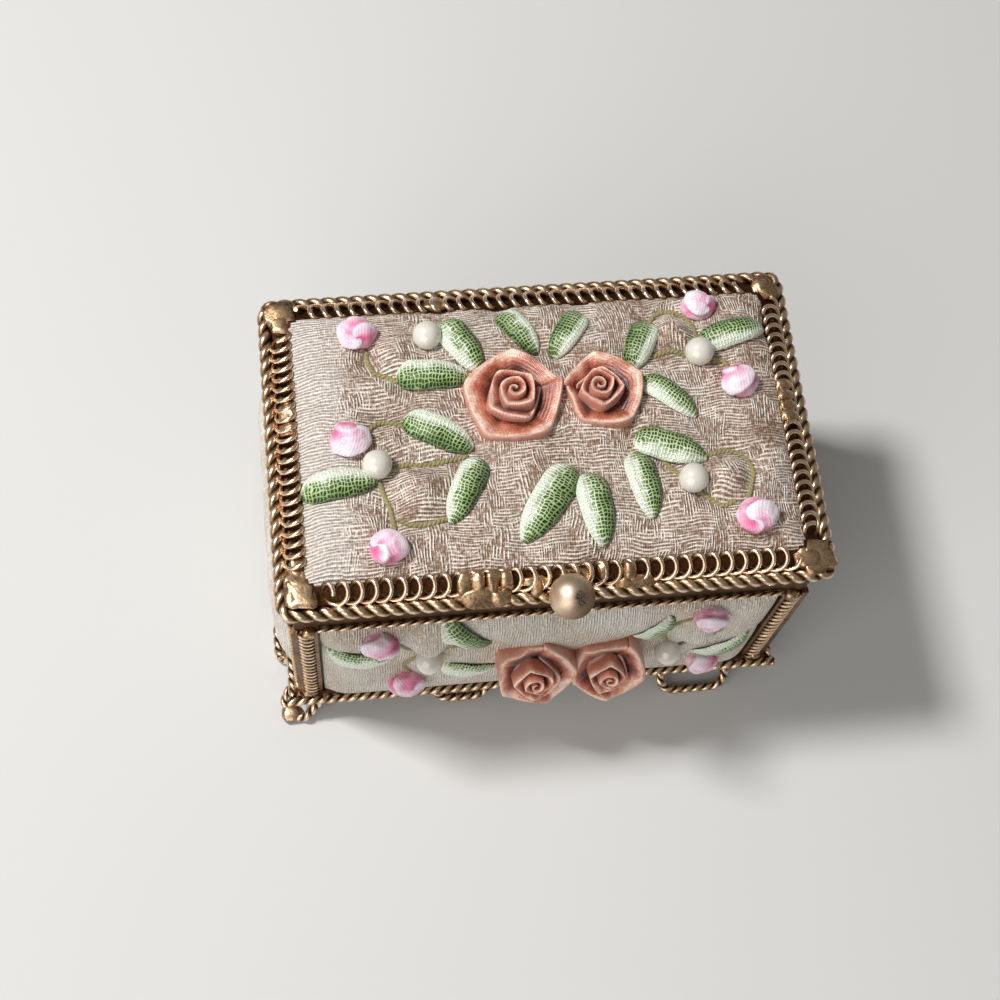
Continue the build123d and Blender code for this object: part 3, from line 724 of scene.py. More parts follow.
def brocade_material(name, light, dark, rib, patched):
    """Shiny brocade: fine ribs, broken into dashes. Where it is patched they turn from patch to
    patch, and the cloth is paler and plainer along its left side."""
    shade = Shade(name, Sheen_Weight=0.35, Sheen_Roughness=0.3, Specular_IOR_Level=0.9)
    flat = shade.weave(CLOTH_WEAVE, CLOTH_WEAVE)
    across, up, _ = shade.axes(flat)
    drift = shade.noise(flat, 0.13, 1, "Color")
    bent = shade.vector("ADD", flat, shade.vector("SCALE", drift, scale=3.4 if patched else 1.2))
    bent_across, bent_up, _ = shade.axes(bent)

    def dashes(value, pitch, place, stretch, low, high, least):
        """Ribs with that pitch, broken where a stretched noise is low."""
        breaks = shade.noise(shade.vector("MULTIPLY", place, (*stretch, 1)), 1)
        whole = shade.spread(breaks, low, high, least, 1)
        return shade.math("MULTIPLY", shade.wave(value, pitch), whole)

    pitch = rib / MM
    worked = dashes(bent_across, pitch * 0.82, bent, (2.4, 0.85), 0.42, 0.56, 0.0)
    if patched:
        level = dashes(bent_up, pitch, bent, (0.5, 2.4), 0.36, 0.52, 0.1)
        patches = shade.noise(flat, 0.23)
        level = shade.math("MULTIPLY", level, shade.spread(patches, 0.44, 0.5))
        upright = shade.math("MULTIPLY", worked, shade.spread(patches, 0.49, 0.55, 1, 0))
        raised = shade.spread(shade.noise(flat, 0.17), 0.36, 0.47, 0.25, 1)
        worked = shade.math("MULTIPLY", shade.math("MAXIMUM", level, upright), raised)
        ragged = shade.math("MULTIPLY_ADD", shade.noise(flat, 0.3), 9.0, across)
        margin = shade.spread(ragged, -22.5, -18.5, 1, 0)
        straight = shade.math("MULTIPLY_ADD", shade.noise(flat, 0.24), 1.2, up)
        plain = dashes(straight, pitch, flat, (0.5, 2.4), 0.35, 0.55, 0.5)
        worked = shade.between(margin, worked, plain)
    threads = shade.math("ADD", shade.wave(across, 0.29), shade.wave(up, 0.27))
    height = shade.math("MULTIPLY_ADD", threads, 0.12, worked)
    # Painted glints: random noise that lifts the threads' colour, relief and shine in small spots
    glints = shade.spread(shade.noise(flat, 2.4), 0.3, 0.7, -0.26, 0.26)
    height = shade.math("ADD", height, glints)
    tint = shade.spread(shade.noise(flat, 0.12, 3), 0.36, 0.64)
    low_tone = shade.mix(tint, shaded(dark, 1.35), tinted(dark, 0.95, 0.8, 0.66))
    high_tone = shade.mix(tint, light, tinted(light, 0.97, 0.9, 0.83))
    # The colour follows the relief: the brocade's own light and dark threads, and also painted
    # highlight on the raised threads and painted shade between them
    tone = shade.mix(shade.spread(height, 0.1, 0.85), low_tone, high_tone)
    if patched:
        pale = shade.mix(shade.spread(height, 0.1, 0.9), (0.38, 0.30, 0.235), (0.93, 0.86, 0.79))
        tone = shade.mix(margin, tone, pale)
    rough = shade.spread(height, 0.1, 1.0, 0.5, 0.22)
    return shade.done(tone, rough, height, 0.2, 1.0)


def leaf_material(dark):
    """Leaf ribbon: a lattice of lime threads on green, pale mint along one edge."""
    shade = Shade("leaf_ribbon", Sheen_Weight=0.25, Sheen_Roughness=0.4, Specular_IOR_Level=0.5)
    along, across, _ = shade.axes(shade.weave(RIBBON_LENGTH, RIBBON_WIDTH))
    waver = shade.uneven(0.9, 0.16, 1)
    lengths = shade.wave(shade.math("ADD", along, waver), 0.44)
    widths = shade.wave(shade.math("ADD", across, waver), 0.5)
    crossing = shade.math("MAXIMUM", lengths, shade.math("POWER", widths, 1.5))
    lines = shade.spread(crossing, 0.45, 0.92)
    across = shade.math("ADD", across, shade.uneven(0.4, 0.6))
    share = shade.math("DIVIDE", across, RIBBON_WIDTH)
    ground = shade.ramp(
        share,
        (0.02, shaded(dark, 0.15)),
        (0.3, shaded(dark, 0.35)),
        (0.62, (0.05, 0.11, 0.025)),
    )
    lime = shade.ramp(
        share,
        (0.05, (0.15, 0.26, 0.06)),
        (0.3, (0.36, 0.52, 0.17)),
        (0.62, (0.72, 0.83, 0.52)),
    )
    laced = shade.mix(lines, ground, lime)
    mint = shade.mix(lengths, (0.70, 0.79, 0.58), (0.97, 1.0, 0.88))
    tone = shade.mix(shade.spread(across, 2.3, 3.0), laced, mint)
    return shade.done(tone, 0.42, lines, 0.12, 1.0)


def ribbon_material(name, tones, pitch, roughness):
    """Satin ribbon whose colour changes across it, with its weave as relief and as painted shade in
    its low parts.
    """
    shade = Shade(name, Sheen_Weight=0.3, Sheen_Roughness=0.4, Specular_IOR_Level=0.55)
    along, across, _ = shade.axes(shade.weave(1, 1))
    side = shade.math("ADD", across, shade.uneven(0.35, 0.13))
    side = shade.math("ADD", side, shade.uneven(5, 0.05), clamp=True)
    ribs = shade.wave(shade.math("MULTIPLY", along, RIBBON_LENGTH), pitch)
    warps = shade.wave(shade.math("MULTIPLY", across, RIBBON_WIDTH), pitch)
    height = shade.math("ADD", ribs, warps)
    tone = shade.ramp(side, *tones)
    weave_shaded = shade.mix(shade.spread(height, 0, 1.4, 0.35, 0.0), tone, (0.45, 0.4, 0.4), "MULTIPLY")
    return shade.done(weave_shaded, roughness, height, 0.03, 0.6)


def pearl_material(colour):
    """Cream pearl lustre under a clear coat."""
    shade = Shade("pearl", Coat_Weight=1.0, Coat_Roughness=0.06, Specular_IOR_Level=0.8)
    cloud = shade.noise(shade.place(), 0.7, 2)
    tone = shade.mix(cloud, shaded(colour, 0.9), tinted(colour, 1.05, 1, 1.1))
    return shade.done(tone, 0.26, cloud, 0.03, 0.3)


def thread_material():
    """Olive thread with a gold cast."""
    shade = Shade("thread", Sheen_Weight=0.4)
    tone = shade.mix(shade.noise(shade.place(), 0.5, 2), (0.16, 0.13, 0.035), (0.42, 0.36, 0.15))
    return shade.done(tone, 0.6, shade.noise(shade.place(), 6, 2), 0.04, 0.6)


def satin_material(colour):
    """Plain satin lining with a fine warp, and painted shade in the low parts of its weave."""
    shade = Shade("lining_satin", Sheen_Weight=0.4, Sheen_Roughness=0.4)
    across, back, up = shade.axes(shade.place())
    warp = shade.wave(shade.math("ADD", across, back), 0.3)
    weft = shade.wave(shade.math("ADD", up, back), 0.42)
    height = shade.math("ADD", warp, shade.math("MULTIPLY", weft, 0.6))
    cloud = shade.noise(shade.place(), 0.12, 3)
    tone = shade.mix(cloud, shaded(colour, 0.82), shaded(colour, 1.1))
    weave_shaded = shade.mix(shade.spread(height, 0, 1.6, 0.3, 0), tone, (0.45, 0.4, 0.35), "MULTIPLY")
    return shade.done(weave_shaded, 0.42, height, 0.04, 0.7)


def card_material():
    """Pale board with fibres."""
    shade = Shade("card", Specular_IOR_Level=0.2)
    fibres = shade.noise(shade.vector("MULTIPLY", shade.place(), (1, 1, 0.2)), 1.4, 5)
    tone = shade.mix(fibres, (0.42, 0.35, 0.26), (0.62, 0.54, 0.43))
    return shade.done(tone, 0.85, fibres, 0.08, 0.5)


# Sheet metal that isn't rubbed bright: its colour as shares of the gilt's red, green and blue, and
# its least roughness.
# The two darker ones are painted shade on the rim band, the lid plate and the frame's channel under
# the rings
SHEETS = {
    "gilt_sheet": ((0.42, 0.34, 0.27), 0.34),
    "gilt_painted_shade": ((0.24, 0.18, 0.14), 0.4),
    "gilt_painted_channel_shade": ((0.17, 0.1, 0.07), 0.5),
}


def rose_tones(rose):
    """Colours across the rose ribbon, from the bottom of a fold over its crest and down outside:
    painted shade deep in the fold, a painted highlight along the crest, and the ribbon's own pale
    edge.
    """
    return [
        (0.16, tinted(rose, 0.12, 0.03, 0.02)),
        (0.31, tinted(rose, 0.8, 0.6, 0.5)),
        (0.4, tinted(rose, 1.2, 1.45, 1.5)),
        (0.48, (0.96, 0.72, 0.58)),
        (0.55, (0.80, 0.44, 0.33)),
        (0.72, rose),
        (0.9, rose),
        (0.99, (0.90, 0.66, 0.51)),
    ]


def bud_tones(bud):
    """Colours of the bud ribbon, from the bottom of a fold to its edge: the deep end is partly
    painted shade.
    """
    return [
        (0.1, bud),
        (0.36, (0.90, 0.33, 0.52)),
        (0.58, (0.93, 0.68, 0.80)),
        (0.8, (0.95, 0.86, 0.92)),
    ]


def material(name):
    """The named material, made the first time it is asked for."""
    if name + LOOK in bpy.data.materials:
        return bpy.data.materials[name + LOOK]
    scene = bpy.context.scene
    gilt, cloth, ribbon = scene.trinket_gilt, scene.trinket_brocade, scene.trinket_ribbon
    light, dark = tuple(gilt.light), tuple(gilt.dark)
    if name in SHEETS:
        shares, roughness = SHEETS[name]
        return gilt_material(name, tinted(light, *shares), dark, crest=False, roughness=roughness)
    makers = {
        "gilt_wire": lambda: gilt_material(name, light, dark),
        "knob_brass": lambda: knob_material(light, dark),
        "brocade": lambda: brocade_material(
            name, tuple(cloth.light), tuple(cloth.dark), cloth.rib, patched=True
        ),
        "brocade_plain": lambda: brocade_material(
            name, tuple(cloth.side_light), tuple(cloth.side_dark), cloth.rib, patched=False
        ),
        "rose_ribbon": lambda: ribbon_material(name, rose_tones(tuple(ribbon.rose)), 0.24, 0.3),
        "leaf_ribbon": lambda: leaf_material(tuple(ribbon.leaf)),
        "bud_ribbon": lambda: ribbon_material(name, bud_tones(tuple(ribbon.bud)), 0.34, 0.36),
        "pearl": lambda: pearl_material(tuple(ribbon.pearl)),
        "thread": thread_material,
        "lining_satin": lambda: satin_material(tuple(cloth.lining)),
        "card": card_material,
    }
    return makers[name]()


class Bed:
    """A pad's own flat frame: across, up and out, in metres, and the height of its face."""

    def __init__(self, origin, across, up):
        turned = Matrix((across, up, across.cross(up))).transposed().to_4x4()
        self.matrix = Matrix.Translation(origin) @ turned
        self.face = None

    def height(self, across, up):
        """Height of the pad's face at a place."""
        sky = 50 * MM
        hit = self.face.ray_cast(Vector((across, up, sky)), Vector((0, 0, -1)))
        return hit[0].z if hit[0] else 0.0


def level_bed(node, facing=1):
    """The bed of a pad that lies flat, and the pad's thickness. It faces down if facing is -1."""
    low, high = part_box(node)
    start = low.z if facing > 0 else high.z
    middle = Vector(((low.x + high.x) / 2, (low.y + high.y) / 2, start))
    return Bed(middle, Vector((facing, 0, 0)), Vector((0, 1, 0))), high.z - low.z


def pad_profile(across, up, halves, edge, crown):
    """Height of a crowned pad before it is stuffed."""
    share = 1.0
    for place, half in zip((across, up), halves):
        inside = held((half - abs(place)) / min(half, PAD_BORDER))
        share *= 1 - (1 - inside) ** 3.2
    return edge + (crown - edge) * share


def heading(turn):
    """The direction on a pad at so many degrees from across."""
    return Vector((math.cos(math.radians(turn)), math.sin(math.radians(turn))))


def stitch_points(work):
    """Every place where the ribbon work is sewn down through the pad."""
    leaves, buds, pearls, stems, roses = work
    points = []
    for across, up, length, turn, _, _ in leaves:
        reach = heading(turn) * length / 2
        points += [Vector((across, up)) + reach, Vector((across, up)) - reach]
    points += [Vector(place) for place in buds + pearls]
    points += [Vector(rose[:2]) for rose in roses.values()]
    for stem in stems:
        line = even([Vector((*place, 0)) for place in stem], 0.8)
        points += [place.to_2d() for place in line]
    return [point * MM for point in points]


def stuff(piece, pinned, cap):
    """Blows the pad up as stuffed cloth that is held at its edge and its stitches. The cloth run is
    made for things the size of a cushion, so the pad is that many times larger while it runs."""
    larger = 20.0
    frames = 20
    mesh = piece.data
    rest = np.zeros(len(mesh.vertices) * 3)
    mesh.vertices.foreach_get("co", rest)
    mesh.vertices.foreach_set("co", rest * larger)
    group = piece.vertex_groups.new(name="held")
    group.add(pinned, 1.0, "REPLACE")
    cloth = piece.modifiers.new("Cloth", "CLOTH")
    settings = cloth.settings
    settings.quality = 5
    settings.mass = 0.25
    settings.tension_stiffness = settings.compression_stiffness = 12
    settings.shear_stiffness = 4
    settings.bending_stiffness = 0.6
    settings.vertex_group_mass = group.name
    settings.use_pressure = True
    settings.uniform_pressure_force = 9.0
    settings.effector_weights.gravity = 0
    cloth.collision_settings.use_collision = False
    cloth.point_cache.frame_end = frames
    scene = bpy.context.scene
    for number in range(1, frames + 1):
        scene.frame_set(number)
    done = piece.evaluated_get(bpy.context.evaluated_depsgraph_get()).to_mesh()
    blown = np.zeros(len(rest))
    done.vertices.foreach_get("co", blown)
    piece.modifiers.remove(cloth)
    piece.vertex_groups.remove(group)
    scene.frame_set(1)
    move = (blown / larger - rest).reshape(-1, 3)
    reach = np.linalg.norm(move, axis=1, keepdims=True)
    move *= np.minimum(1, cap / np.maximum(reach, 1e-9))
    mesh.vertices.foreach_set("co", rest + move.ravel())
    mesh.update()


def add_pad(bm, halves, edge, crown, cell, stitches=(), roll=0.0, puffs=()):
    """A closed pad on a grid, with a crowned face and a flat back. Returns the held vertices.
    edge and crown are its heights, and roll is how far its face rolls out past its back."""
    at_rim = 0.9999
    tuck = 0.15 * MM
    counts = [max(8, round(2 * half / cell)) for half in halves]
    back = bmesh.ops.create_grid(bm, x_segments=counts[0], y_segments=counts[1], size=1)["verts"]
    weave = bm.loops.layers.uv["weave"]
    near = KDTree(len(stitches))
    for number, point in enumerate(stitches):
        near.insert((*point, 0), number)
    near.balance()
    for vertex in back:
        vertex.co = (vertex.co.x * halves[0], vertex.co.y * halves[1], 0)
    rim = {vertex for vertex in back if vertex.is_boundary}
    grown = bmesh.ops.extrude_face_region(bm, geom=bm.faces, use_keep_orig=True)["geom"]
    face = [item for item in grown if isinstance(item, bmesh.types.BMVert)]
    pinned = set(back)
    for vertex in face:
        across, up, _ = vertex.co
        vertex.co.z = pad_profile(across, up, halves, edge, crown)
        for puff_across, puff_up, reach in puffs:
            gap = math.hypot(across / MM - puff_across, up / MM - puff_up) / reach
            vertex.co.z += PUFF_HEIGHT * max(0, 1 - gap * gap) ** 1.5
        if max(abs(across) / halves[0], abs(up) / halves[1]) > at_rim:
            pinned.add(vertex)
        if stitches:
            gap = near.find((across, up, 0))[2]
            vertex.co.z -= STITCH_DEPTH * math.exp(-((gap / STITCH_REACH) ** 1.5))
            if gap < STITCH_HOLD:
                pinned.add(vertex)
        for axis, half in enumerate(halves):
            inside = min(1, (half - abs(vertex.co[axis])) / PAD_BORDER)
            vertex.co[axis] += math.copysign(roll * (1 - inside) ** 2, vertex.co[axis])
    for vertex in rim:
        for axis in (0, 1):
            if abs(vertex.co[axis]) > halves[axis] * at_rim:
                vertex.co[axis] -= math.copysign(tuck, vertex.co[axis])
    bmesh.ops.recalc_face_normals(bm, faces=bm.faces)
    for part in bm.faces:
        for loop in part.loops:
            across, up, height = loop.vert.co
            under = max(0, edge - height)
            loop[weave].uv = (
                (across + math.copysign(under, across)) / (CLOTH_WEAVE * MM),
                (up + math.copysign(under, up)) / (CLOTH_WEAVE * MM),
            )
    bm.verts.index_update()
    return [vertex.index for vertex in pinned]


def make_pad(
    node, bed, body, look, cell, crown, edge, work=(), puffs=(), fill=0.7, gap=0.05, roll=0.0
):
    """A padded piece in the space of its CAD solid. work is what is sewn on it, fill is not used,
    and gap is how far it stays inside the solid all round, in millimetres."""
    low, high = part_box(node)
    local = [bed.matrix.inverted() @ corner for corner in (low, high)]
    halves = [abs(local[1][axis] - local[0][axis]) / 2 - gap * MM for axis in (0, 1)]
    bm = new_mesh()
    stitches = stitch_points(work) if work else ()
    pinned = add_pad(bm, halves, edge, crown, cell, stitches, roll, puffs)
    piece = finish_piece(f"{node}_cover", bm, body, material(look), [node])
    stuff(piece, pinned, STITCHED_LIFT if work else PLAIN_LIFT)
    mesh = piece.data
    bed.face = BVHTree.FromPolygons(
        [vertex.co.copy() for vertex in mesh.vertices],
        [tuple(polygon.vertices) for polygon in mesh.polygons],
    )
    mesh.transform(bed.matrix)
    refine(piece)
    return piece


def add_sheet(bm, columns, rows, place, weave_size=(1, 1)):
    """Adds a grid of cloth and lays each point where place(u, v) says."""
    layer = bm.loops.layers.uv["weave"]
    made = bmesh.ops.create_grid(bm, x_segments=columns, y_segments=rows, size=0.5)["verts"]
    shares = {vertex: (vertex.co.x + 0.5, vertex.co.y + 0.5) for vertex in made}
    for face in {face for vertex in made for face in vertex.link_faces}:
        for loop in face.loops:
            u, v = shares[loop.vert]
            loop[layer].uv = (u * weave_size[0], v * weave_size[1])
    for vertex, (u, v) in shares.items():
        vertex.co = place(u, v)


def finish_sewn(node, ending, bm, bed, look):
    """Lays ribbon work on its pad, as the piece that stands for a node."""
    bm.transform(bed.matrix)
    body = "lid" if node.startswith("lid") else "box"
    return finish_piece(f"{node}_{ending}", bm, body, material(look), [node])


def finish_ribbon(node, bm, bed, look):
    """Lays a sheet of ribbon on its pad and gives it its thickness."""
    piece = finish_sewn(node, "ribbon", bm, bed, look)
    return refine(piece, bpy.context.scene.trinket_ribbon.ribbon_thickness)


def make_rose(node, bed, across, up, radius, turn, lean):
    """A wound ribbon rose: a coil that is folded at each corner, in a wide outer turn of ribbon."""
    bm = new_mesh()
    middle = Vector((across, up)) * MM
    size = radius * MM
    front = node.startswith("front")
    height = (5.0 if front else 4.4) * MM
    tilt = math.radians(27 if front else 0)
    round_about = [Vector((math.cos(part), math.sin(part))) for part in np.linspace(0, TAU, 9)]
    ring = [middle + part * size * 0.7 for part in round_about]
    base = sum(bed.height(*spot) for spot in ring) / len(ring)
    seat = base + (1.2 if front else -0.7) * MM
    start = math.radians(turn)

    def laid(reach, rise, angle):
        """The place at a reach, a rise and an angle round the rose's own tilted middle."""
        x, y = reach * math.cos(angle), reach * math.sin(angle)
        return Vector(
            (
                middle.x + x,
                middle.y + y * math.cos(tilt) + rise * math.sin(tilt),
                seat + rise * math.cos(tilt) - y * math.sin(tilt),
            )
        )

    def folded(wound, fold):
        """How far the corner of a fold stands out, and how far the ribbon laps over there."""
        along = wound / fold % 1
        corner = 1 / math.cos((along - 0.5) * fold) - 1
        lap = (along if along < 0.92 else (1 - along) * 11.5) - 0.5
        return corner, lap

    coil_turns = len(ROSE_COIL) - 1

    def coil_crest(now):
        """Reach and rise of the ribbon's crest after so many turns."""
        if now < 0:
            return 0.0, height * 0.8
        wound = now * TAU
        corner, lap = folded(wound, math.radians(83))
        loose = held((now - 0.8) / 1.2)
        bent = noise.noise(Vector((wound * 0.35, start, radius)))
        tucked = max(0, (now - coil_turns + 0.4) / 0.4)
        reach = size * float(np.interp(now, range(coil_turns + 1), ROSE_COIL))
        reach *= 1 + 0.7 * corner * loose + 0.1 * bent - 0.32 * tucked
        reach += 0.3 * MM * lap * loose
        rise = height * (0.97 - 0.1 * now - 0.12 * max(0, 1 - now) ** 2 - 0.3 * tucked)
        return reach, rise + 0.45 * MM * lap * loose + 0.35 * MM * bent

    def coil(u, v):
        """The wound middle: from the turn inside it, over its crest and down outside."""
        now = u * coil_turns
        reach, rise = coil_crest(now)
        if v < 0.5:
            s = 1 - v / 0.5
            inner, under = coil_crest(now - 1)
            reach += (inner - reach) * s
            rise += (min(rise - height * 0.3, under - height * 0.16) - rise) * s**1.3
        else:
            s = (v - 0.5) / 0.5
            reach += size * 0.03 * s
            rise -= height * 0.55 * s**1.3
        return laid(reach, rise, start + now * TAU)

    def petals(u, v):
        """The outer turn: from the coil, over its crest and down to the pad. Its ends lap."""
        now = 1.14 * u - 0.14
        wound = now * TAU
        angle = start + wound
        corner, lap = folded(wound, math.radians(72))
        bent = noise.noise(Vector((wound * 0.4, radius, start)))
        reach = size * (0.79 + 0.08 * now) * (1 + 0.6 * corner + 0.07 * bent) + 0.35 * MM * lap
        reach += lean * MM * math.cos(angle)
        rise = height * (0.46 + 0.08 * now) + 0.55 * MM * lap + 0.4 * MM * bent
        if v < 0.5:
            s = 1 - v / 0.5
            spot = laid(
                reach + (size * 0.34 - reach) * s,
                rise + (height * (0.14 + 0.04 * now) - rise) * s**1.2,
                angle,
            )
            spot.z = max(spot.z, bed.height(spot.x, spot.y) + (0.2 + 0.1 * now) * MM)
            return spot
        s = (v - 0.5) / 0.5
        spot = laid(reach + size * 0.05 * s, rise - height * 0.4 * s**1.3, angle)
        spot.z += (bed.height(spot.x, spot.y) - 0.3 * MM - spot.z) * s**1.5
        return spot

    add_sheet(bm, 150, 10, coil, (1.9, 1))
    add_sheet(bm, 80, 14, petals, (2.2, 1))
    return finish_ribbon(node, bm, bed, "rose_ribbon")


def make_leaves(node, bed, leaves):
    """Ribbon leaves: domed, blunt at one end and gathered at the other."""
    bm = new_mesh()
    columns, rows = 26, 12
    layer = bm.loops.layers.uv["weave"]
    flatter = 0.6 if node.startswith("front") else 1
    for number, (across, up, length, turn, width, pale_side) in enumerate(leaves):
        along = heading(turn)
        side = Vector((-along.y, along.x))
        middle = Vector((across, up)) * MM
        rise = (1.15 + 0.15 * math.sin(number * 2.3)) * flatter * MM

        def leaf(u, v):
            """The place at a share of the leaf's length and of its width."""
            s, w = 2 * u - 1, 2 * v - 1
            blunt = max(0.0, 1 - abs(s) ** (2.5 if s > 0 else 5.0)) ** 0.6
            reach = along * (s * length * MM / 2)
            spread = side * (w * width * MM / 2 * max(blunt, 0.2) * (1 - 0.08 * s))
            wavy = 0.05 * MM * math.sin(s * 9 + number)
            spot = middle + reach + spread
            spine = middle + reach
            face = 0.45 * bed.height(*spot) + 0.55 * bed.height(*spine)
            dome = rise * max(0, 1 - w * w) ** 0.6 * (0.25 + 0.75 * blunt)
            crease = 0.2 * MM * math.exp(-(((w - 0.3 * pale_side) / 0.14) ** 2)) * blunt
            hem = 0.22 * MM * abs(w) ** 6 * blunt
            return Vector((spot.x, spot.y, face + 0.08 * MM + dome - crease + hem + wavy * abs(w)))

        add_sheet(bm, columns, rows, leaf, (length / RIBBON_LENGTH, 1))
        bm.faces.ensure_lookup_table()
        for face in bm.faces[-columns * rows :]:
            for loop in face.loops:
                across_ribbon = (loop[layer].uv.y - 0.5) * math.copysign(1, pale_side)
                loop[layer].uv.y = min(1, across_ribbon + abs(pale_side) - 0.5)
    return finish_ribbon(node, bm, bed, "leaf_ribbon")


def make_buds(node, bed, buds):
    """Ribbon buds: wound ribbon, pale along its edges and deep pink in its folds, partly as the
    ribbon's own colour and partly as painted shade.
    """
    bm = new_mesh()
    weave = bm.loops.layers.uv["weave"]
    for number, (across, up) in enumerate(buds):
        seat = Vector((across * MM, up * MM, 0))
        size = (2.32 + 0.15 * math.sin(number * 1.7)) * MM
        seat.z = bed.height(seat.x, seat.y) + size * 0.52
        lean = Matrix.Rotation(0.7, 3, Vector((math.cos(number * 2.4), math.sin(number * 2.4), 0)))
        shape = Matrix.Diagonal((size * 1.06, size * 0.96, size * 0.8)) @ lean
        made = bmesh.ops.create_uvsphere(bm, u_segments=48, v_segments=24, radius=1)["verts"]
        tones = {}
        for vertex in made:
            spot = vertex.co.copy()
            turn = math.atan2(spot.y, spot.x) / TAU
            polar = math.acos(max(-1, min(1, spot.z))) / math.pi
            wound = (2 * turn + 1.7 * polar + number * 0.37) % 1
            edge = wound / 0.9 if wound < 0.9 else (1 - wound) / 0.1
            crumple = noise.noise(spot * 2.0 + Vector((number * 3, 0, 0)))
            swell = 0.88 + 0.19 * edge * min(1, 3.5 * polar) + 0.09 * crumple
            blush = max(0, math.cos(TAU * turn - number * 2.1)) ** 2
            # Painted light: the tone is lighter where the crumple swells the bud out, darker in its
            # dents, and deep just under each wrapped edge
            tone = 0.34 + 0.5 * edge - 0.34 * blush + 0.2 * crumple
            tones[vertex] = (spot.x * 0.11, min(0.98, max(0.02, tone)))
            vertex.co = seat + shape @ (spot * swell)
        for face in {face for vertex in made for face in vertex.link_faces}:
            for loop in face.loops:
                loop[weave].uv = tones[loop.vert]
    return refine(finish_sewn(node, "ribbon", bm, bed, "bud_ribbon"))


def make_pearls(node, bed, pearls):
    """Round pearls pressed a little into the pad."""
    bm = new_mesh()
    radius = bpy.context.scene.trinket_ribbon.pearl_radius
    for across, up in pearls:
        middle = Vector((across * MM, up * MM, 0))
        middle.z = bed.height(middle.x, middle.y) + radius * 0.72
        made = bmesh.ops.create_uvsphere(bm, u_segments=28, v_segments=18, radius=radius)["verts"]
        for vertex in made:
            lumps = noise.noise(vertex.co / radius * 1.1 + middle * 900)
            vertex.co = middle + vertex.co * (1 + 0.03 * lumps)
    return finish_sewn(node, "round", bm, bed, "pearl")


def make_stems(name, bed, stems, body):
    """Twisted thread stems that lie on the pad."""
    bm = new_mesh()
    radius = 0.36 * MM
    for stem in stems:
        line = even(curved([Vector((*place, 0)) * MM for place in stem]), 0.16 * MM)
        for point in line:
            point.z = bed.height(point.x, point.y) + 0.12 * MM
        add_rope(bm, line, UP, radius, 1.1 * MM, 1)
    bm.transform(bed.matrix)
    return finish_piece(name, bm, body, material("thread"))


def sew(where, bed, body, work):
    """All the ribbon work of one pad, on the lid or on the front."""
    leaves, buds, pearls, stems, roses = work
    for hand, rose in roses.items():
        make_rose(f"{where}_rose_{hand}", bed, *rose)
    make_leaves(f"{where}_leaves", bed, leaves)
    make_buds(f"{where}_buds", bed, buds)
    make_pearls(f"{where}_pearls", bed, pearls)
    make_stems(f"{where}_stems_thread", bed, stems, body)


class TRINKET_OT_ropes(bpy.types.Operator):
    """Twist the ropes of the lid and the body."""

    bl_idname = "trinket.ropes"
    bl_label = "Ropes"

    def execute(self, context):
        gilt = context.scene.trinket_gilt
        low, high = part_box("lid_rope")
        radius = (high.z - low.z) / 2
        inset = Vector((radius, radius, 0))
        a, b = low + inset, high - inset
        level = low.z + radius
        places = ((a.x, a.y), (b.x, a.y), (b.x, b.y), (a.x, b.y))
        corners = [Vector((x, y, level)) for x, y in places]
        bm = new_mesh()
        route = rounded(corners, 1.6 * MM, gilt.rope_lay / ROPE_STEPS, closed=True)
        add_rope(bm, route, UP, radius, gilt.rope_lay, -1, closed=True)
        finish_twist("lid_rope", bm, "lid")
        for side, out in OUTWARD.items():
            for kind, lay in (("top_rope", gilt.top_rope_lay), ("base_rope", gilt.base_rope_lay)):
                node = f"{kind}_{side}"
                low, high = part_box(node)
                radius = (high.z - low.z) / 2
                along = UP.cross(out)
                start, end = span(node, along)
                middle = out * sum(span(node, out)) / 2 + UP * (low.z + radius)
                route = even([middle + along * start, middle + along * end], lay / ROPE_STEPS)
                bm = new_mesh()
                add_rope(bm, route, UP, radius, lay, 1)
                finish_twist(node, bm, "box")
        return {"FINISHED"}


class TRINKET_OT_feet(bpy.types.Operator):
    """Bend the rope feet and the small curls under the base."""

    bl_idname = "trinket.feet"
    bl_label = "Rope feet"

    def execute(self, context):
        lay = context.scene.trinket_gilt.base_rope_lay
        radius = 0.65 * MM
        # Where each foot stands, and the width of its bottom as a share of its top
        feet = {
            "foot_front_right": ("front", 0.94),
            "foot_left": ("left", 0.9),
            "foot_back_left": ("back", 0.94),
            "foot_right": ("right", 0.9),
            "foot_front_left": ("front_left", 0.8),
            "foot_back_right": ("back_right", 0.8),
            "rope_curl_front": ("front", 0.9),
            "rope_curl_back": ("back", 0.9),
        }
        for node, (where, narrow) in feet.items():
            at_corner = where in CORNERS
            out = Vector((*CORNERS[where], 0)).normalized() if at_corner else OUTWARD[where]
            along = UP.cross(out)
            ends, reach = span(node, along), span(node, out)
            bottom, top = (corner.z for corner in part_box(node))
            middle = along * sum(ends) / 2
            half = (ends[1] - ends[0]) / 2 - radius
            inner, outer = reach[0] + radius, reach[1] - radius
            points = [
                middle - along * half + out * inner + UP * top,
                middle - along * half * narrow + out * outer + UP * (bottom + radius),
                middle + along * half * narrow + out * outer + UP * (bottom + radius),
                middle + along * half + out * inner + UP * top,
            ]
            bend = min(2.2 * MM, half * narrow * 0.9)
            flat = (points[1] - points[0]).cross(along).normalized()
            bm = new_mesh()
            route = rounded(points, bend, lay / ROPE_STEPS)
            add_rope(bm, route, flat, radius * 1.06, lay, 1)
            if at_corner:
                tip = middle + out * outer + UP * (bottom + radius * 1.25)
                shape = Matrix.Diagonal((1.35 * MM, 1.35 * MM, 0.72 * MM))
                add_lump(bm, tip, shape, len(node))
            finish_twist(node, bm, "box")
        return {"FINISHED"}


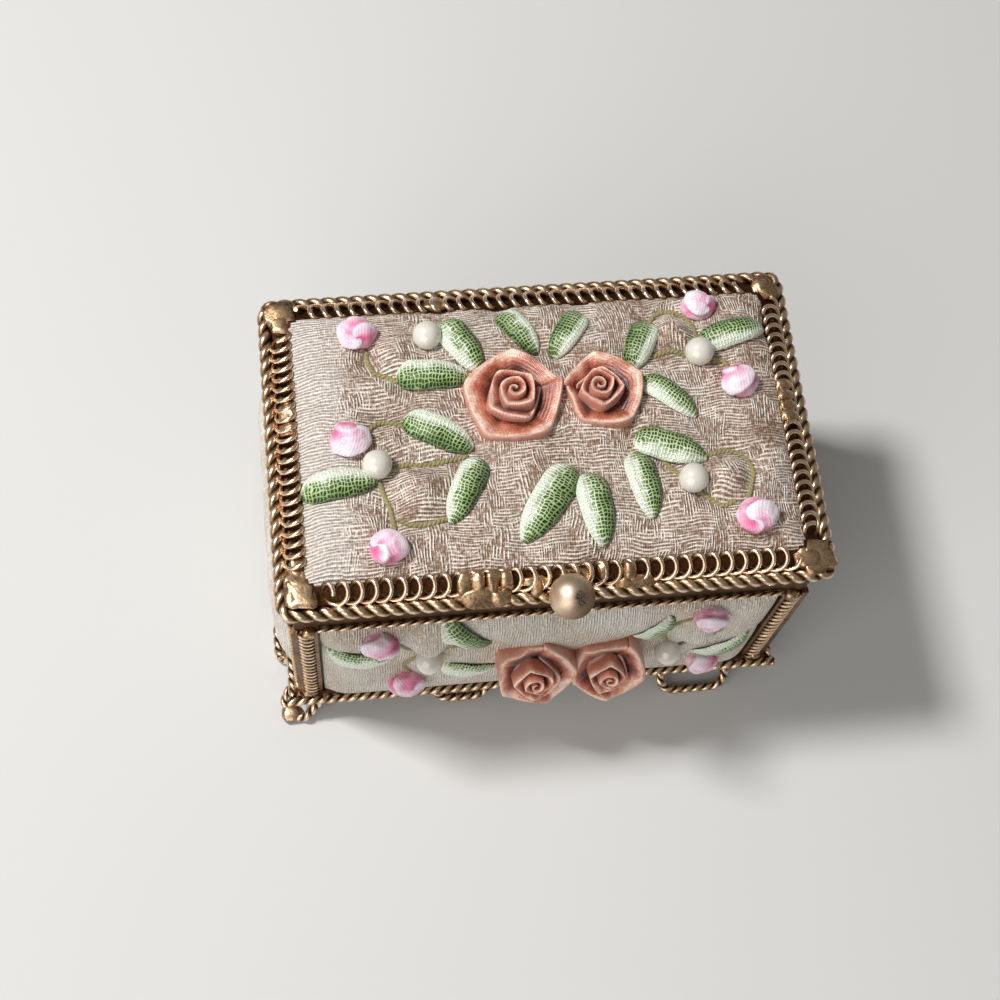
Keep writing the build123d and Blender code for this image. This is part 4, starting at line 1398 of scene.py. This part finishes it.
class TRINKET_OT_rings(bpy.types.Operator):
    """Lay the flattened wire rings round the lid's band."""

    bl_idname = "trinket.rings"
    bl_label = "Lid rings"

    def execute(self, context):
        gilt = context.scene.trinket_gilt
        reach, spread = 1.4 * MM, 1.05 * MM
        frame_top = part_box("lid_frame")[1].z
        for side, out in OUTWARD.items():
            node = f"lid_rings_{side}"
            along = UP.cross(out)
            start, end = span(node, along)
            low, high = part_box(node)
            depth = span(node, out)
            slope = (UP * (high.z - low.z) - out * (depth[1] - depth[0])).normalized()
            normal = along.cross(slope)
            edge = span("lid_frame", out)[1]
            middle = out * (edge - BAND_RUN / 2) + UP * (frame_top - BAND_RISE / 2)
            pitch = gilt.ring_pitch * (0.8 if out.x else 1)
            turns = int((end - start - 2 * spread) / pitch) + 1
            points = []
            for number in range(turns * RING_STEPS + 1):
                angle = TAU * number / RING_STEPS
                place = (start + end) / 2 + (number / RING_STEPS - turns / 2) * pitch
                points.append(
                    middle
                    + along * (place + spread * math.cos(angle))
                    + slope * reach * math.sin(angle)
                    + normal * gilt.ring_wire * (1.15 + 2.1 * math.cos(angle))
                )
            bm = new_mesh()
            made = add_tube(bm, points, gilt.ring_wire)
            # Painted highlight and shade: the wire is marked brighter the further it stands off the
            # band, and dark where it meets it
            floor = middle.dot(normal)
            mark_crest(bm, made, lambda co: ((co.dot(normal) - floor) / gilt.ring_wire + 0.1) / 2.0)
            finish_piece(f"{node}_wire", bm, "lid", material("gilt_wire"), [node])
        return {"FINISHED"}


class TRINKET_OT_coils(bpy.types.Operator):
    """Wind the wire coils in the corner posts, with a drop of solder at each end."""

    bl_idname = "trinket.coils"
    bl_label = "Corner coils"

    def execute(self, context):
        turns = context.scene.trinket_gilt.coil_turns
        lip, width, rise = 0.8 * MM, 2.0 * MM, 0.6 * MM
        for corner, (side_x, side_y) in CORNERS.items():
            node = f"corner_coils_{corner}"
            low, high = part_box(node)
            tall = high.z - low.z
            pitch = tall / turns
            wire = pitch * 0.25
            half = width / 2 - wire * 0.55
            corner_x = high.x if side_x > 0 else low.x
            corner_y = high.y if side_y > 0 else low.y
            corner_point = Vector((corner_x, corner_y, 0))
            bm = new_mesh()
            for out, inward in (
                (Vector((0, side_y, 0)), Vector((-side_x, 0, 0))),
                (Vector((side_x, 0, 0)), Vector((0, -side_y, 0))),
            ):
                face = corner_point + inward * (lip + width / 2)
                # A thin plate behind each coil, marked darkest: a sheet of painted shade so the
                # gaps between the turns read dark
                plate = bmesh.ops.create_cube(bm, size=1)["verts"]
                middle = face + UP * (low.z + high.z) / 2 - out * rise * 0.85
                size = Matrix((inward * width, out * 0.12 * MM, UP * tall)).transposed()
                for vertex in plate:
                    vertex.co = middle + size @ vertex.co
                mark_crest(bm, plate, lambda co: 0)
                points = []
                last = turns * COIL_STEPS
                for number in range(last + 1):
                    angle = TAU * number / COIL_STEPS
                    height = low.z + wire + (tall - 2 * wire) * number / last
                    points.append(
                        face
                        + inward * half * math.cos(angle)
                        + out * (0.42 * MM * math.sin(angle) - rise * 0.45)
                        + UP * height
                    )
                made = add_tube(bm, points, wire)
                bm.normal_update()
                # Painted highlight and shade: each turn is marked bright where it faces out and
                # dark where it turns away
                layer = bm.verts.layers.float["crest"]
                for vertex in made:
                    vertex[layer] = held((vertex.normal.dot(out) - 0.3) / 0.45)
                drop = Matrix.Diagonal((0.85 * MM,) * 3)
                for number, height in enumerate((low.z + 0.7 * MM, high.z - 0.5 * MM)):
                    spot = face + UP * height - out * 0.15 * MM + inward * (number - 0.5) * 0.9 * MM
                    add_lump(bm, spot, drop, number + side_x, 0.1)
            finish_piece(f"{node}_wire", bm, "box", material("gilt_wire"), [node])
        return {"FINISHED"}


class TRINKET_OT_solder(bpy.types.Operator):
    """Put the lumps of solder on the lid frame, the ball knob and its neck."""

    bl_idname = "trinket.solder"
    bl_label = "Solder and knob"

    def execute(self, context):
        wire = material("gilt_wire")
        low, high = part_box("lid_frame")
        bm = new_mesh()
        for number, (side, place, up_slope, *reaches) in enumerate(LID_LUMPS):
            out = OUTWARD[side]
            along = UP.cross(out)
            slope = (UP * BAND_RISE - out * BAND_RUN).normalized()
            edge = span("lid_frame", out)[1]
            centre_along = sum(span("lid_frame", along)) / 2
            spot = out * (edge - BAND_RUN / 2) + UP * (high.z - BAND_RISE / 2)
            spot += along * (centre_along + place * MM) + slope * up_slope * MM
            axes = (along, slope, along.cross(slope))
            shape = Matrix([axis * reach * MM for axis, reach in zip(axes, reaches)]).transposed()
            add_lump(bm, spot + axes[2] * 0.3 * MM, shape, number + 1, 0.24)
        for number, (corner, lumps) in enumerate(CORNER_LUMPS.items()):
            side_x, side_y = CORNERS[corner]
            corner_x = high.x if side_x > 0 else low.x
            corner_y = high.y if side_y > 0 else low.y
            for inward_x, inward_y, size in lumps:
                x = corner_x - side_x * (BAND_RUN * 0.4 + inward_x * MM)
                y = corner_y - side_y * (BAND_RUN * 0.4 + inward_y * MM)
                spot = Vector((x, y, high.z - BAND_RISE * 0.38))
                shape = Matrix.Diagonal((size * MM, size * 1.05 * MM, 0.5 * MM))
                add_lump(bm, spot, shape, number + 7 + size, 0.45)
        finish_piece("lid_solder", bm, "lid", wire)
        ball_low, ball_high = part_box("knob_ball")
        radius = (ball_high.x - ball_low.x) / 2
        centre = (ball_low + ball_high) / 2
        bm = new_mesh()
        made = bmesh.ops.create_uvsphere(bm, u_segments=48, v_segments=32, radius=radius)["verts"]
        for vertex in made:
            dent = noise.noise(vertex.co / radius * 1.6 + Vector((4, 1, 7)))
            vertex.co = centre + vertex.co * (1 + 0.012 * dent)
        brass = material("knob_brass")
        finish_piece("knob_ball_brass", bm, "lid", brass, ["knob_ball"])
        stem_low, stem_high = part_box("knob_stem")
        root = Vector(((stem_low.x + stem_high.x) / 2, stem_high.y, stem_low.z))
        root += Vector((0.4, -0.4, 0.4)) * MM
        bm = new_mesh()
        reach = centre - root
        along = reach.normalized()
        side = along.cross(UP).normalized()
        axes = (side * 1.25 * MM, along * reach.length * 0.62, side.cross(along) * 0.95 * MM)
        add_lump(bm, root + reach * 0.4, Matrix(axes).transposed(), 3, 0.12)
        add_lump(bm, root, Matrix.Diagonal((2.3 * MM, 1.5 * MM, 0.7 * MM)), 5, 0.2)
        finish_piece("knob_neck", bm, "lid", wire, ["knob_stem"])
        return {"FINISHED"}


class TRINKET_OT_lid_pad(bpy.types.Operator):
    """Stuff the lid's pad and sew its ribbon work on."""

    bl_idname = "trinket.lid_pad"
    bl_label = "Lid pad and ribbon work"

    def execute(self, context):
        cell = context.scene.trinket_brocade.cell
        bed, thick = level_bed("lid_pad")
        crown, edge = thick - 0.7 * MM, 2.35 * MM
        look = {"fill": 0.75, "gap": -0.3, "roll": 0.95 * MM}
        make_pad("lid_pad", bed, "lid", "brocade", cell, crown, edge, LID_WORK, LID_PUFFS, **look)
        sew("lid", bed, "lid", LID_WORK)
        return {"FINISHED"}


class TRINKET_OT_panels(bpy.types.Operator):
    """Stuff the panels of the body and sew the front's ribbon work on."""

    bl_idname = "trinket.panels"
    bl_label = "Side panels and ribbon work"

    def execute(self, context):
        cell = context.scene.trinket_brocade.cell
        for side, out in OUTWARD.items():
            node = f"panel_{side}"
            low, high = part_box(node)
            along = UP.cross(out)
            base, top = span(node, out)
            middle = out * base + UP * (low.z + high.z) / 2 + along * sum(span(node, along)) / 2
            bed = Bed(middle, along, UP)
            heights = (top - base - 0.3 * MM, 0.8 * MM)
            if side == "front":
                sewn = (FRONT_WORK, FRONT_PUFFS)
                make_pad(node, bed, "box", "brocade_plain", cell, *heights, *sewn)
                sew("front", bed, "box", FRONT_WORK)
            else:
                make_pad(node, bed, "box", "brocade_plain", cell * 1.5, *heights)
        return {"FINISHED"}


class TRINKET_OT_linings(bpy.types.Operator):
    """Line the box and the lid with padded satin."""

    bl_idname = "trinket.linings"
    bl_label = "Linings"

    def execute(self, context):
        cell = context.scene.trinket_brocade.cell * 2
        for node, body, facing in (("floor_pad", "box", 1), ("lid_lining", "lid", -1)):
            bed, thick = level_bed(node, facing)
            heights = (thick * 0.9, thick * 0.3)
            make_pad(node, bed, body, "lining_satin", cell, *heights, fill=0.5, gap=0.2)
        low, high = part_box("wall_lining")
        middle = (low + high) / 2
        bm = new_mesh()
        for out in OUTWARD.values():
            along = UP.cross(out)
            reach = span("wall_lining", out)[1]
            start, end = span("wall_lining", along)
            halves = ((end - start) / 2 - 0.02 * MM, (high.z - low.z) / 2)
            spot = out * reach + along * (start + end) / 2 + UP * middle.z
            bed = Bed(spot, -along, UP)
            wall = new_mesh()
            add_pad(wall, halves, 0.12 * MM, 0.5 * MM, cell)
            wall.transform(bed.matrix)
            part = bpy.data.meshes.new("wall")
            wall.to_mesh(part)
            wall.free()
            bm.from_mesh(part)
            bpy.data.meshes.remove(part)
        satin = material("lining_satin")
        piece = finish_piece("wall_lining_cover", bm, "box", satin, ["wall_lining"])
        refine(piece)
        return {"FINISHED"}


class TRINKET_OT_metal(bpy.types.Operator):
    """Give the sheet metal, the hinge and the board their finishes."""

    bl_idname = "trinket.metal"
    bl_label = "Sheet, hinge and board"

    def execute(self, context):
        posts = [f"corner_post_{corner}" for corner in CORNERS]
        finishes = {
            "gilt_sheet": ["base_plate", "hinge_pin", "body_knuckles", "lid_knuckles", *posts],
            # Painted shade: the rim band, the lid plate and the frame's channel are darkened as if
            # in shadow
            "gilt_painted_shade": ["rim_band", "lid_plate"],
            "gilt_painted_channel_shade": ["lid_frame"],
            "card": ["box_core"],
        }
        for name, nodes in finishes.items():
            for node in nodes:
                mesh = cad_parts[node].data
                mesh.materials.clear()
                mesh.materials.append(material(name))
        return {"FINISHED"}


class TRINKET_OT_stage(bpy.types.Operator):
    """Set the floor, the lamps and the camera."""

    bl_idname = "trinket.stage"
    bl_label = "Stage"

    def execute(self, context):
        scene = context.scene
        stage = scene.trinket_stage
        bm = new_mesh()
        bmesh.ops.create_grid(bm, x_segments=1, y_segments=1, size=1.5)
        mesh = bpy.data.meshes.new("floor")
        bm.to_mesh(mesh)
        bm.free()
        floor = bpy.data.objects.new("floor", mesh)
        scene.collection.objects.link(floor)
        shade = Shade("floor", Roughness=0.8, Specular_IOR_Level=0.2)
        shade.surface.inputs["Base Color"].default_value = (*stage.floor, 1)
        mesh.materials.append(shade.material)

        world = bpy.data.worlds.new("room")
        world.use_nodes = True
        room = world.node_tree.nodes["Background"].inputs
        room["Color"].default_value = (1.0, 0.99, 0.97, 1)
        room["Strength"].default_value = stage.sky
        scene.world = world
        lamps = (
            ("key", stage.key, 0.1, Vector((-0.34, 0.12, 0.6))),
            ("fill", stage.fill, 0.7, Vector((-0.4, -0.5, 0.36))),
        )
        lamps_aim = Vector((0, 0, 0.03))
        for name, power, size, spot in lamps:
            lamp = bpy.data.lights.new(name, "AREA")
            lamp.energy = power
            lamp.size = size
            holder = bpy.data.objects.new(name, lamp)
            scene.collection.objects.link(holder)
            turned = (lamps_aim - spot).to_track_quat("-Z", "Y").to_matrix().to_4x4()
            holder.matrix_world = Matrix.Translation(spot) @ turned

        # The camera that was fitted to the corners of the frame, the posts and the ropes
        lens, distance = 59.19, 0.20548
        target = Vector((-0.006267, -0.006666, 0.04165))
        azimuth, elevation, roll = (math.radians(angle) for angle in (-16.314, 67.258, 10.93))
        back = Vector(
            (
                math.sin(azimuth) * math.cos(elevation),
                -math.cos(azimuth) * math.cos(elevation),
                math.sin(elevation),
            )
        )
        right = Vector((math.cos(azimuth), math.sin(azimuth), 0))
        up = back.cross(right)
        right_turned = right * math.cos(roll) + up * math.sin(roll)
        up_turned = up * math.cos(roll) - right * math.sin(roll)
        data = bpy.data.cameras.new("camera")
        data.lens = lens
        data.sensor_width = 36
        data.sensor_fit = "HORIZONTAL"
        data.clip_start = 0.01
        camera = bpy.data.objects.new("camera", data)
        scene.collection.objects.link(camera)
        turned = Matrix((right_turned, up_turned, back)).transposed().to_4x4()
        camera.matrix_world = Matrix.Translation(target + back * distance) @ turned
        scene.camera = camera
        scene.view_settings.view_transform = "Standard"
        return {"FINISHED"}


class TRINKET_PT_panel(bpy.types.Panel):
    """The steps of the trinket box, in order."""

    bl_idname = "TRINKET_PT_panel"
    bl_label = "Trinket Box"
    bl_space_type = "VIEW_3D"
    bl_region_type = "UI"
    bl_category = "Trinket Box"

    def draw(self, context):
        for operator in OPERATORS:
            self.layout.operator(operator.bl_idname)
        for name in GROUPS:
            settings = getattr(context.scene, name)
            for key in settings.__annotations__:
                self.layout.prop(settings, key)


OPERATORS = (
    TRINKET_OT_metal,
    TRINKET_OT_ropes,
    TRINKET_OT_feet,
    TRINKET_OT_rings,
    TRINKET_OT_coils,
    TRINKET_OT_solder,
    TRINKET_OT_lid_pad,
    TRINKET_OT_panels,
    TRINKET_OT_linings,
    TRINKET_OT_stage,
)
GROUPS = {
    "trinket_gilt": GiltProps,
    "trinket_brocade": BrocadeProps,
    "trinket_ribbon": RibbonProps,
    "trinket_stage": StageProps,
}


def register():
    for group in GROUPS.values():
        bpy.utils.register_class(group)
    for name, group in GROUPS.items():
        setattr(bpy.types.Scene, name, PointerProperty(type=group))
    for operator in OPERATORS:
        bpy.utils.register_class(operator)
    bpy.utils.register_class(TRINKET_PT_panel)


def unregister():
    bpy.utils.unregister_class(TRINKET_PT_panel)
    for operator in reversed(OPERATORS):
        bpy.utils.unregister_class(operator)
    for name in GROUPS:
        delattr(bpy.types.Scene, name)
    for group in reversed(list(GROUPS.values())):
        bpy.utils.unregister_class(group)


def main():
    register()
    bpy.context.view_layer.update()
    for operator in OPERATORS:
        _, step = operator.bl_idname.split(".")
        getattr(bpy.ops.trinket, step)()


if __name__ == "__main__":
    main()
